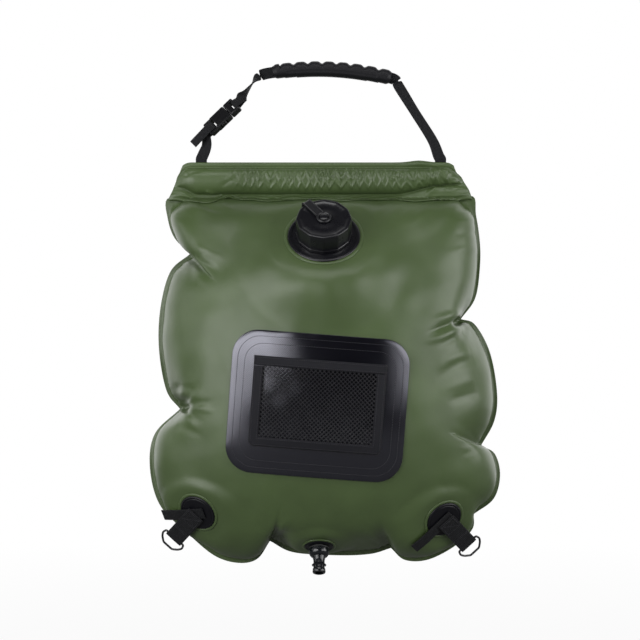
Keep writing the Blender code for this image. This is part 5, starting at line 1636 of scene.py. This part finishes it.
def build_tether():
    """The tether's strap and its ring round the rivet, as one piece."""
    turn = FILLER_FRAME @ Matrix.Rotation(TETHER_ANGLE, 4, "Z")
    line = curve_through([(r, 0.0, z) for r, z in tether_points()], 0.0008)
    rows = []
    for point, way in zip(line, unit_rows(np.gradient(line, axis=0))):
        up = np.array((-way[2], 0.0, way[0]))
        ring = []
        for y, z in TETHER_SECTION:
            ring.append(point + np.array((0.0, y * TETHER_HALF_WIDTH, 0.0)) + up * z * TETHER_THICK)
        rows.append(ring)
    strap = tube("tether_strap", moved_by(turn, rows), finish("tether"), sharp=50.0)
    low, high, eye = CAP_TOP + GAP, CAP_TOP + GAP + TETHER_THICK, TETHER_EYE
    ring = turned(
        "tether_ring",
        [
            (0.0050, low), (eye, low), (eye + 0.0001, high), (eye - 0.0004, high + 0.0005),
            (eye - 0.0012, high + 0.0005), (eye - 0.0017, high), (0.0050, high - 0.0002),
        ],
        finish("tether"),
        FILLER_FRAME,
        segments=56,
    )
    bm = bmesh.new()
    bm.from_mesh(strap.data)
    bm.from_mesh(ring.data)
    bm.to_mesh(strap.data)
    bm.free()
    bpy.data.objects.remove(ring, do_unlink=True)
    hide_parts("cap_tether")
    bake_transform(strap)


def build_filler():
    """Cap, neck, welded rim of film, rivet and tether."""
    cap = swept_round("screw_cap", cap_profile, 144, finish("filler"), FILLER_FRAME)
    dress(cap, "cap", "filler_plastic", "filler_cap")
    neck = swept_round("screw_neck", neck_profile, 120, finish("filler"), FILLER_FRAME)
    dress(neck, "bag", "filler_plastic", "filler_neck")
    rim_ring("filler_weld_rim", FILLER_FRAME, FLANGE_RADIUS + 0.0018, 0.0020, 0.0011)
    head = CAP_TOP + GAP + TETHER_THICK + 0.0002
    plate = CAP_TOP - CAP_DISH - CAP_PLATE
    rivet = lathe(
        "rivet",
        [
            (0.0, head + 0.0010), (0.0012, head + 0.00095), (0.0030, head + 0.0007),
            (0.0041, head + 0.0003), (0.0044, head - 0.0002), (0.0016, head - 0.0004),
            (0.0016, plate - GAP), (0.0028, plate - GAP - 0.0002), (0.0016, plate - 0.0022),
            (0.0, plate - 0.0026),
        ],
        finish("filler"),
        FILLER_FRAME,
        segments=48,
    )
    dress(rivet, "cap_tether", "filler_plastic", "tether_rivet")
    build_tether()


# Pocket
def on_patch(u, v):
    """Place (x, z) of a point given in the patch's own width and height."""
    c, s = math.cos(PATCH_TURN), math.sin(PATCH_TURN)
    return PATCH_CENTRE[0] + u * c - v * s, PATCH_CENTRE[1] + u * s + v * c


def over_patch(u, v, lift):
    """A point that stands off the film within the patch."""
    x, z = on_patch(u, v)
    return np.array((x, -(film_depth(x, z) + lift), z))


def pocket_bulge(u, v):
    """How far the pocket's front stands off the patch, most near its open top."""
    across = max(0.0, 1.0 - (u / POCKET_HALF_WIDTH) ** 2)
    up = (v + POCKET_HALF_HEIGHT) / (2 * POCKET_HALF_HEIGHT)
    return POCKET_BULGE * across**0.75 * math.sin(min(1.0, max(0.0, up)) * math.pi * 0.62)


def over_pocket(u, v, lift):
    """A point on the pocket's front, given in the pocket's own width and height."""
    height = PATCH_LIFT + PATCH_THICK + GAP + pocket_bulge(u, v) + lift
    return over_patch(u, v + POCKET_CENTRE_V, height)


def part_way(a, b, t):
    return a[0] + (b[0] - a[0]) * t, a[1] + (b[1] - a[1]) * t


def rounded_outline(half_w, half_h, corner, step):
    """Points round a rounded rectangle, anticlockwise from the right side."""
    points = []
    for index, (sx, sy) in enumerate(((1, 1), (-1, 1), (-1, -1), (1, -1))):
        count = max(3, round(corner * math.pi / 2 / step))
        for i in range(count + 1):
            angle = math.radians(90.0 * index + 90.0 * i / count)
            x = sx * (half_w - corner) + corner * math.cos(angle)
            points.append((x, sy * (half_h - corner) + corner * math.sin(angle)))
    out = []
    for a, b in zip(points, points[1:] + points[:1]):
        count = max(1, round(math.dist(a, b) / step))
        out += [part_way(a, b, i / count) for i in range(count)]
    return out


def build_patch():
    """The glossy backing patch with two rows of stitches round its edge."""
    outline = rounded_outline(PATCH_HALF_WIDTH, PATCH_HALF_HEIGHT, PATCH_CORNER, 0.004)
    scales = np.linspace(1.0, 0.02, 22)
    uvs = [(u * scale, v * scale) for scale in scales for u, v in outline]
    top = [over_patch(u, v, PATCH_LIFT + PATCH_THICK) for u, v in uvs]
    faces = grid_faces(len(scales), len(outline))
    faces.append(tuple(range(len(top) - len(outline), len(top))))
    obj = new_object("pocket_backing", top, faces, finish("patch"), uvs)
    face_side(obj, -1)
    give_wall(obj, PATCH_THICK)
    rounded_edges(obj, 0.0004, 60.0)
    dress(obj, "bag", "patch_film", "pocket_patch")
    paths = []
    for inset in (0.0062, 0.0135):
        ring = rounded_outline(
            PATCH_HALF_WIDTH - inset, PATCH_HALF_HEIGHT - inset, PATCH_CORNER - inset * 0.6, 0.003
        )
        path = [over_patch(u, v, PATCH_LIFT + PATCH_THICK + 0.0001) for u, v in ring]
        paths.append(path + path[:1])
    dress(stitched("patch_stitches", paths), "bag", "patch_film")


def ribbon_on_pocket(name, near_edge, far_edge, lift):
    """Tape over the pocket between two edges given in the pocket's own width and height."""
    across = np.linspace(0.0, 1.0, 9)
    middle = [part_way(near, far, 0.5) for near, far in zip(near_edge, far_edge)]
    points, uvs = [], []
    for near, far, run in zip(near_edge, far_edge, run_along(middle)):
        for t in across:
            u, v = part_way(near, far, t)
            edge = min(t, 1.0 - t)
            points.append(over_pocket(u, v, lift - 0.0005 * (1.0 - min(1.0, edge / 0.12)) ** 2))
            uvs.append((math.dist(near, far) * t, run))
    faces = grid_faces(len(near_edge), len(across), closed_columns=False)
    obj = new_object(name, points, faces, finish("tape"), uvs)
    face_side(obj, -1)
    return give_wall(obj, BINDING_THICK)


def matched(outer, inner, step):
    """Two edges with the same count of points between like corners."""
    near, far = [tuple(outer[0])], [tuple(inner[0])]
    for a, b, c, d in zip(outer, outer[1:], inner, inner[1:]):
        count = max(1, round(math.dist(a, b) / step))
        shares = [i / count for i in range(1, count + 1)]
        near += [part_way(a, b, t) for t in shares]
        far += [part_way(c, d, t) for t in shares]
    return near, far


def between(corners, step):
    """Points along a line through corners."""
    return matched(corners, corners, step)[0]


def under_pocket(w, h, top, cut):
    """Corners down one side, under the pocket and up the other, cut at the bottom."""
    right = [(w - cut, -h), (w, -h + cut), (w, top)]
    return [(-x, y) for x, y in reversed(right)] + right


def build_binding():
    """The tape round three sides of the pocket, the hem on its open top, and their stitching."""
    outer_w, outer_h = POCKET_HALF_WIDTH, POCKET_HALF_HEIGHT
    inner_w, inner_h = outer_w - BINDING_WIDTH, outer_h - BINDING_WIDTH
    top = inner_h - GAP
    outer = under_pocket(outer_w, outer_h, top, 0.0035)
    near, far = matched(outer, under_pocket(inner_w, inner_h, top, 0.001), 0.0025)
    obj = ribbon_on_pocket("binding_tape", near, far, BINDING_THICK)
    dress(obj, "bag", "tape", "pocket_binding")
    near, far = matched(
        [(-outer_w, inner_h), (outer_w, inner_h)], [(-outer_w, outer_h), (outer_w, outer_h)], 0.0025
    )
    hem = ribbon_on_pocket("hem_tape", near, far, BINDING_THICK + HEM_LIFT)
    dress(hem, "bag", "tape", "pocket_hem")
    lift = BINDING_THICK + 0.0001
    paths = []
    for inset in (0.0018, BINDING_WIDTH - 0.0018):
        w, h = outer_w - inset, outer_h - inset
        line = between([(-w, top), (-w, -h), (w, -h), (w, top)], 0.002)
        paths.append([over_pocket(u, v, lift) for u, v in line])
        line = between([(-outer_w, h), (outer_w, h)], 0.002)
        paths.append([over_pocket(u, v, lift + HEM_LIFT) for u, v in line])
    dress(stitched("pocket_stitches", paths, 0.0022, 0.0015, 0.00022), "bag", "tape")


def build_net():
    """Diagonal strands of the knitted net, each following the pocket's front."""
    half_w = POCKET_HALF_WIDTH - BINDING_WIDTH + 0.001
    low = -POCKET_HALF_HEIGHT + BINDING_WIDTH - 0.001
    high = POCKET_HALF_HEIGHT - BINDING_WIDTH + 0.001
    columns = round(2 * half_w / NET_PITCH)
    rows = round((high - low) / NET_PITCH)
    points, edges, index = [], [], {}

    def knot(i, j):
        if (i, j) not in index:
            u = half_w * (i / columns - 1.0)
            v = low + (high - low) * j / (2 * rows)
            index[i, j] = len(points)
            points.append(over_pocket(u, v, BINDING_THICK / 2 - 0.0002 * ((i + j) % 4 == 0)))
        return index[i, j]

    for i in range(2 * columns):
        for j in range(2 * rows):
            falls = (i + j) % 2
            edges.append((knot(i + falls, j), knot(i + 1 - falls, j + 1)))
    obj = grown(
        "knitted_net", points, edges, strand_tree, finish("net"), Radius=NET_STRAND, Sides=4
    )
    dress(obj, "bag", "net", "pocket_net")


# Corner anchors
def build_anchor(side):
    """One corner's disc and welded rim, its webbing tail, and its strap with the ring."""
    centre, axis = ANCHOR_CENTRES[side], ANCHOR_AXES[side]
    rim, thick = DISC_RADIUS, DISC_THICK
    base = anchor_frame(centre, axis, RING_DIRECTIONS[side])
    disc = lathe(
        f"anchor_patch_{side}",
        [
            (0.0, thick), (0.0060, thick), (rim - 0.0036, thick), (rim - 0.0030, thick - 0.0004),
            (rim - 0.0022, thick - 0.0003), (rim - 0.0012, thick - 0.0001),
            (rim - 0.0003, thick * 0.6), (rim, thick * 0.25), (rim - 0.0002, 0.0), (0.0, 0.0),
        ],
        finish("disc"),
        base,
        segments=72,
    )
    dress(disc, "bag", "disc_plastic", f"anchor_disc_{side}")
    rim_ring(f"anchor_weld_rim_{side}", base, DISC_RADIUS + 0.0014, 0.0016, 0.0009)
    height = DISC_THICK + GAP + WEB_THICK / 2
    reach = TAIL_LENGTH + TAIL_BACK
    tail_frame = anchor_frame(centre, axis, TAIL_DIRECTIONS[side])
    path = [Vector((reach * f - TAIL_BACK, 0.0, height)) for f in (0.0, 0.4, 0.7, 1.0)]
    path[-1].z -= TAIL_SAG
    width = tail_frame.to_3x3() @ ACROSS
    tail = webbing(f"tail_webbing_{side}", [(tail_frame @ p, width) for p in path])
    dress(tail, "bag", "webbing", f"tail_strap_{side}")
    build_ring_strap(side, base)


def ring_strap_path():
    """The strap's upper ply, its loop round the ring and its lower ply, as (x, z)."""
    reach = RING_STRAP_LENGTH
    loop = RING_WIRE + RING_CLEAR + WEB_THICK / 2
    ply = WEB_THICK + GAP
    path = [(0.0, 0.0), (0.012, 0.0), (reach - 0.0085, 0.0), (reach - 0.0045, 0.0006)]
    for i in range(9):
        angle = math.radians(110.0 - 220.0 * i / 8)
        path.append((reach + loop * math.cos(angle), -ply / 2 + loop * math.sin(angle)))
    path += [(reach - 0.0045, -ply - 0.0006), (reach - 0.0085, -ply), (reach - RING_STRAP_LAP, -ply)]
    return path


# A box with its cross over the disc, and two bars before the loop
STITCH_BOX = ((0.002, -0.0078), (0.0165, -0.0078), (0.0165, 0.0078), (0.002, 0.0078))
RING_STRAP_STITCHES = (
    (*STITCH_BOX, STITCH_BOX[0]),
    (STITCH_BOX[0], STITCH_BOX[2]),
    (STITCH_BOX[3], STITCH_BOX[1]),
    ((0.0300, -0.0085), (0.0300, 0.0085)),
    ((0.0318, -0.0085), (0.0318, 0.0085)),
)


def build_ring_strap(side, base):
    """The short strap that lifts off the film, its stitches and the wire ring in its loop."""
    height = DISC_THICK + WEB_THICK * 1.5 + 2 * GAP
    lifted = base @ Matrix.Translation((0.0, 0.0, height))
    width = base.to_3x3() @ ACROSS
    route = [(lifted @ Vector((x, 0.0, z)), width) for x, z in ring_strap_path()]
    strap = webbing(f"ring_webbing_{side}", route, width=RING_WEB_WIDTH)
    dress(strap, f"ring_strap_{side}", "webbing", f"ring_strap_{side}")
    top = WEB_THICK / 2 + 0.0002
    paths = [[lifted @ Vector((x, y, top)) for x, y in line] for line in RING_STRAP_STITCHES]
    rows = stitched(f"ring_strap_stitches_{side}", paths, 0.0021, 0.0015, 0.00024)
    dress(rows, f"ring_strap_{side}", "webbing")
    half_outline = (
        (0.0, RING_HALF_WIDTH), (RING_DEPTH * 0.35, RING_HALF_WIDTH + RING_SWELL),
        (RING_DEPTH * 0.66, RING_HALF_WIDTH - RING_SWELL), (RING_DEPTH, RING_FAR_HALF),
    )
    wire = list(half_outline) + [(x, -y) for x, y in reversed(half_outline)]
    matrix = base @ Matrix.Translation((RING_STRAP_LENGTH, 0.0, height - (WEB_THICK + GAP) / 2))
    ring = wire_ring(f"d_ring_wire_{side}", wire, RING_WIRE, matrix)
    dress(ring, f"d_ring_{side}", "ring_metal", f"d_ring_{side}")


def wire_ring(name, corners, radius, matrix):
    """Round wire bent through corners, closed on itself."""
    points = []
    count = len(corners)
    for i in range(count):
        a, b, c = (np.array(corners[(i + k) % count]) for k in (-1, 0, 1))
        back, on = (a - b), (c - b)
        cut = min(0.0018, np.linalg.norm(back) * 0.42, np.linalg.norm(on) * 0.42)
        p, q = b + back / np.linalg.norm(back) * cut, b + on / np.linalg.norm(on) * cut
        for t in np.linspace(0.0, 1.0, 7):
            points.append((1 - t) ** 2 * p + 2 * t * (1 - t) * b + t**2 * q)
    rows = []
    for before, (x, y), after in zip(points[-1:] + points, points, points[1:] + points[:1]):
        way = (after - before) / np.linalg.norm(after - before)
        ring = []
        for angle in circle_angles(14):
            out = radius * math.cos(angle)
            ring.append((x + way[1] * out, y - way[0] * out, radius * math.sin(angle)))
        rows.append(ring)
    return tube(name, moved_by(matrix, rows), finish("ring"), closed=True)


# Outlet
def build_outlet():
    """The weld flange with its rim of film, and the domed outlet with its hose barb."""
    rim, thick, bore = OUTLET_FLANGE_RADIUS, OUTLET_FLANGE_THICK, OUTLET_STUD + GAP
    flange = turned(
        "outlet_weld_flange",
        [
            (bore, thick), (OUTLET_DOME + 0.0008, thick), (OUTLET_DOME + 0.0012, thick - 0.0004),
            (rim - 0.0016, thick - 0.0004), (rim - 0.0012, thick), (rim - 0.0005, thick - 0.0002),
            (rim, 0.0008), (rim, 0.0), (bore, 0.0),
        ],
        finish("disc"),
        OUTLET_FRAME,
    )
    dress(flange, "bag", "disc_plastic", "outlet_flange")
    rim_ring("outlet_weld_rim", OUTLET_FRAME, rim + 0.0013, 0.0015, 0.0009)
    base = thick + 2 * GAP + OUTLET_SEAL_THICK + GAP
    dome = []
    for i in range(9):
        angle = math.radians(90.0 * i / 8)
        r = OUTLET_DOME - 0.0040 * (1.0 - math.cos(angle))
        dome.append((r, base + 0.0018 + 0.0065 * math.sin(angle)))
    end, lip, stem, barb = OUTLET_LENGTH, OUTLET_TIP, OUTLET_TUBE, OUTLET_BARB
    body = turned(
        "outlet_elbow",
        [
            (OUTLET_BORE, end), (lip - 0.0010, end), (lip - 0.0003, end - 0.0003),
            (lip, end - 0.0011), (lip, end - 0.0040), (lip - 0.0003, end - 0.0047),
            (stem, end - 0.0052), (stem, end - 0.0072), (barb - 0.0003, end - 0.0083),
            (barb, end - 0.0087), (barb - 0.0005, end - 0.0092), (stem, end - 0.0105),
            (stem, end - 0.0138), (stem + 0.0002, end - 0.0146),
        ]
        + dome[::-1]
        + [
            (OUTLET_DOME, base), (OUTLET_STUD, base), (OUTLET_STUD, -OUTLET_INSIDE),
            (OUTLET_BORE, -OUTLET_INSIDE),
        ],
        finish("outlet"),
        OUTLET_FRAME,
    )
    dress(body, "bag", "outlet_plastic", "outlet_body")


# Hidden pieces
def build_hidden():
    """The rod, the washers and the nut keep their solids and get a finish."""
    for node, name in (
        ("hanger_rod", "rod"), ("cap_seal", "seal"), ("outlet_seal", "seal"), ("outlet_nut", "outlet"),
    ):
        painted_only(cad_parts[node].data, finish(name))


# Stage
LAMP_AIM = Vector((0.0, 0.0, -0.30))
FLOOR_Z = -0.72
FLOOR_RADIUS = 2.6
FLOOR_GREY = (0.16, 0.16, 0.16)

# Distances from the middle of the floor between which it fades into white
FLOOR_FADE = (0.9, 2.2)

# How far to the back a direction has to point for the backdrop to start and to be full
BACKDROP_EDGE = (0.10, 0.75)


def build_stage():
    """The camera, six softboxes round the bag, the room and the floor."""
    look = bpy.context.scene.shower_bag_stage
    scene = bpy.context.scene
    scene.view_settings.view_transform = "Standard"
    camera = bpy.data.cameras.new("camera")
    camera.lens = camera.sensor_width * VIEW_DISTANCE / VIEW_WIDTH
    eye = placed("camera", camera)
    eye.location = (VIEW_CENTRE[0], -VIEW_DISTANCE, VIEW_CENTRE[1])
    eye.rotation_euler = (math.radians(90.0), 0.0, 0.0)
    scene.camera = eye
    for name, place, size, power in (
        ("left_softbox", (-1.15, -1.50, 0.02), (1.7, 0.75), look.left_power),
        ("low_softbox", (-1.45, -1.20, -0.54), (1.1, 0.36), look.low_power),
        ("side_softbox", (-1.95, -0.20, 0.15), (0.9, 0.9), look.side_power),
        ("right_softbox", (1.40, -1.30, 0.00), (1.2, 0.8), look.right_power),
        ("far_softbox", (1.85, -0.45, 0.00), (0.9, 0.9), look.far_power),
        ("top_softbox", (0.00, -1.20, 1.25), (1.8, 0.45), look.top_power),
    ):
        light = bpy.data.lights.new(name, "AREA")
        light.shape = "RECTANGLE"
        light.size, light.size_y = size
        light.energy = power
        lamp = placed(name, light)
        lamp.location = place
        aim = LAMP_AIM - Vector(place)
        lamp.rotation_euler = aim.to_track_quat("-Z", "Y").to_euler()
    build_world(look)
    build_floor(look)


def build_world(look):
    """A dark room with a bright backdrop behind the bag, and plain white for the camera."""
    world = bpy.data.worlds.new("studio")
    bpy.context.scene.world = world
    world.use_nodes = True
    tree = world.node_tree
    new, link = tree.nodes.new, tree.links.new
    place = new("ShaderNodeTexCoord")
    split = new("ShaderNodeSeparateXYZ")
    behind = new("ShaderNodeMapRange")
    behind.interpolation_type = "SMOOTHSTEP"
    levels = (*BACKDROP_EDGE, look.room_level, look.backdrop_level)
    for socket, value in zip(behind.inputs[1:5], levels):
        socket.default_value = value
    path = new("ShaderNodeLightPath")
    level = new("ShaderNodeMix")
    level.inputs["B"].default_value = 1.0
    light = tree.nodes["Background"]
    light.inputs["Color"].default_value = (1.0, 1.0, 1.0, 1.0)
    link(place.outputs["Generated"], split.inputs[0])
    link(split.outputs["Y"], behind.inputs["Value"])
    link(behind.outputs["Result"], level.inputs["A"])
    link(path.outputs["Is Camera Ray"], level.inputs["Factor"])
    link(level.outputs["Result"], light.inputs["Strength"])


def build_floor(look):
    """A round floor well under the bag, which the camera sees as nearly white."""
    bm = bmesh.new()
    bmesh.ops.create_circle(bm, cap_ends=True, segments=96, radius=FLOOR_RADIUS)
    bmesh.ops.translate(bm, vec=(0.0, 0.0, FLOOR_Z), verts=bm.verts)
    mesh = bpy.data.meshes.new("floor")
    bm.to_mesh(mesh)
    bm.free()
    s = Shader("pale_floor", FLOOR_GREY, 0.9)
    place = s.node("ShaderNodeTexCoord").outputs["Object"]
    away = s.node("ShaderNodeVectorMath", operation="LENGTH")
    split = s.node("ShaderNodeSeparateXYZ")
    s.link(place, away.inputs[0])
    s.link(place, split.inputs[0])
    seen = s.spread(away.outputs["Value"], look.floor_white, 1.0, *FLOOR_FADE)
    mirrored = s.spread(split.outputs["Y"], 0.0, 1.0, *FLOOR_FADE)
    rays = s.node("ShaderNodeLightPath").outputs
    share = s.math("MULTIPLY", rays["Is Camera Ray"], seen)
    for ray in ("Is Glossy Ray", "Is Transmission Ray"):
        share = s.math("ADD", share, s.math("MULTIPLY", rays[ray], mirrored))
    mix = s.node("ShaderNodeMixShader")
    s.link(share, mix.inputs["Fac"])
    s.link(s.shader.outputs[0], mix.inputs[1])
    s.link(s.node("ShaderNodeEmission").outputs[0], mix.inputs[2])
    s.link(mix.outputs[0], s.tree.nodes["Material Output"].inputs["Surface"])
    mesh.materials.append(s.material)
    placed("floor", mesh)


# Settings
def lamp_power(name, place, default):
    return bpy.props.FloatProperty(
        name=name, description=f"Power of the softbox {place}", default=default, unit="POWER"
    )


def factor(name, description, default):
    return bpy.props.FloatProperty(
        name=name, description=description, default=default, min=0.0, max=1.0, subtype="FACTOR"
    )


class ShowerBagLooks(bpy.types.PropertyGroup):
    """Colour of the film and how the bag is filled."""

    film_colour: bpy.props.FloatVectorProperty(
        name="Film colour", description="Colour of the coated film", subtype="COLOR",
        size=3, min=0.0, max=1.0, default=(0.062, 0.096, 0.033),
    )
    pressure: bpy.props.FloatProperty(
        name="Pressure", description="Push on the film in each step, in micrometres", default=6.0
    )
    film_bending: factor("Film bending", "Stiffness of the film against folding", 0.03)
    film_slack: factor("Film slack", "How much longer the film is beside a pinch", 0.20)
    film_memory: factor("Film memory", "Pull back to the cut form in each step", 0.02)
    fill_steps: bpy.props.IntProperty(
        name="Fill steps", description="Steps of the filling", default=120, min=0
    )


class ShowerBagStage(bpy.types.PropertyGroup):
    """Power of the softboxes, and levels of the room, its backdrop and the floor."""

    left_power: lamp_power("Left softbox", "in front on the left", 22.0)
    low_power: lamp_power("Low softbox", "low in front on the left", 4.0)
    side_power: lamp_power("Side softbox", "at the left side", 5.0)
    right_power: lamp_power("Right softbox", "in front on the right", 11.0)
    far_power: lamp_power("Far softbox", "at the right side", 13.0)
    top_power: lamp_power("Top softbox", "over the front", 13.0)
    room_level: bpy.props.FloatProperty(
        name="Room level", description="Strength of the even light all round", default=0.02
    )
    backdrop_level: bpy.props.FloatProperty(
        name="Backdrop level", description="Strength of the white backdrop's light", default=1.6
    )
    floor_white: factor("Floor white", "How far the floor under the bag fades into white", 0.94)


# Operators
class SHOWERBAG_OT_stage(bpy.types.Operator):
    """Set the camera, the softboxes and the pale floor"""

    bl_idname = "shower_bag.stage"
    bl_label = "Stage"

    def execute(self, context):
        build_stage()
        return {"FINISHED"}


class SHOWERBAG_OT_film(bpy.types.Operator):
    """Fill the bag and lay its film panels and weld flange"""

    bl_idname = "shower_bag.film"
    bl_label = "Film panels"

    def execute(self, context):
        build_film()
        return {"FINISHED"}


class SHOWERBAG_OT_sleeve(bpy.types.Operator):
    """Lay the crumpled sleeve over the spreader rod"""

    bl_idname = "shower_bag.sleeve"
    bl_label = "Top sleeve"

    def execute(self, context):
        build_sleeve()
        return {"FINISHED"}


class SHOWERBAG_OT_straps(bpy.types.Operator):
    """Weave the handle webbing and the loops round the rod"""

    bl_idname = "shower_bag.straps"
    bl_label = "Handle webbing"

    def execute(self, context):
        build_straps()
        return {"FINISHED"}


class SHOWERBAG_OT_grip(bpy.types.Operator):
    """Mould the grip with its finger notches"""

    bl_idname = "shower_bag.grip"
    bl_label = "Grip"

    def execute(self, context):
        build_grip()
        return {"FINISHED"}


class SHOWERBAG_OT_buckle(bpy.types.Operator):
    """Finish the side-release buckle"""

    bl_idname = "shower_bag.buckle"
    bl_label = "Buckle"

    def execute(self, context):
        build_buckle()
        return {"FINISHED"}


class SHOWERBAG_OT_filler(bpy.types.Operator):
    """Mould the filler's neck, cap, rivet and tether"""

    bl_idname = "shower_bag.filler"
    bl_label = "Filler"

    def execute(self, context):
        build_filler()
        return {"FINISHED"}


class SHOWERBAG_OT_pocket(bpy.types.Operator):
    """Lay the patch, the net, its tapes and their stitching"""

    bl_idname = "shower_bag.pocket"
    bl_label = "Net pocket"

    def execute(self, context):
        build_patch()
        build_binding()
        build_net()
        return {"FINISHED"}


class SHOWERBAG_OT_anchors(bpy.types.Operator):
    """Set the corner anchors with their webbing and rings"""

    bl_idname = "shower_bag.anchors"
    bl_label = "Corner anchors"

    def execute(self, context):
        for side in ("left", "right"):
            build_anchor(side)
        return {"FINISHED"}


class SHOWERBAG_OT_outlet(bpy.types.Operator):
    """Mould the outlet and its weld flange"""

    bl_idname = "shower_bag.outlet"
    bl_label = "Outlet"

    def execute(self, context):
        build_outlet()
        return {"FINISHED"}


class SHOWERBAG_OT_hidden(bpy.types.Operator):
    """Finish the rod, the washers and the nut inside the bag"""

    bl_idname = "shower_bag.hidden"
    bl_label = "Hidden pieces"

    def execute(self, context):
        build_hidden()
        return {"FINISHED"}


OPERATORS = (
    SHOWERBAG_OT_stage,
    SHOWERBAG_OT_film,
    SHOWERBAG_OT_sleeve,
    SHOWERBAG_OT_straps,
    SHOWERBAG_OT_grip,
    SHOWERBAG_OT_buckle,
    SHOWERBAG_OT_filler,
    SHOWERBAG_OT_pocket,
    SHOWERBAG_OT_anchors,
    SHOWERBAG_OT_outlet,
    SHOWERBAG_OT_hidden,
)


class SHOWERBAG_PT_panel(bpy.types.Panel):
    """Sidebar list of the shower bag's pieces"""

    bl_idname = "SHOWERBAG_PT_panel"
    bl_label = "Shower bag"
    bl_space_type = "VIEW_3D"
    bl_region_type = "UI"
    bl_category = "Shower bag"

    def draw(self, context):
        layout = self.layout
        for group in (context.scene.shower_bag_looks, context.scene.shower_bag_stage):
            for name in group.__annotations__:
                layout.prop(group, name)
        for operator in OPERATORS:
            layout.operator(operator.bl_idname)


CLASSES = (ShowerBagLooks, ShowerBagStage, *OPERATORS, SHOWERBAG_PT_panel)


def register():
    for cls in CLASSES:
        bpy.utils.register_class(cls)
    bpy.types.Scene.shower_bag_looks = bpy.props.PointerProperty(type=ShowerBagLooks)
    bpy.types.Scene.shower_bag_stage = bpy.props.PointerProperty(type=ShowerBagStage)


def unregister():
    del bpy.types.Scene.shower_bag_stage
    del bpy.types.Scene.shower_bag_looks
    for cls in reversed(CLASSES):
        bpy.utils.unregister_class(cls)


def main():
    register()
    for operator in OPERATORS:
        group, name = operator.bl_idname.split(".")
        getattr(getattr(bpy.ops, group), name)()


if __name__ == "__main__":
    main()
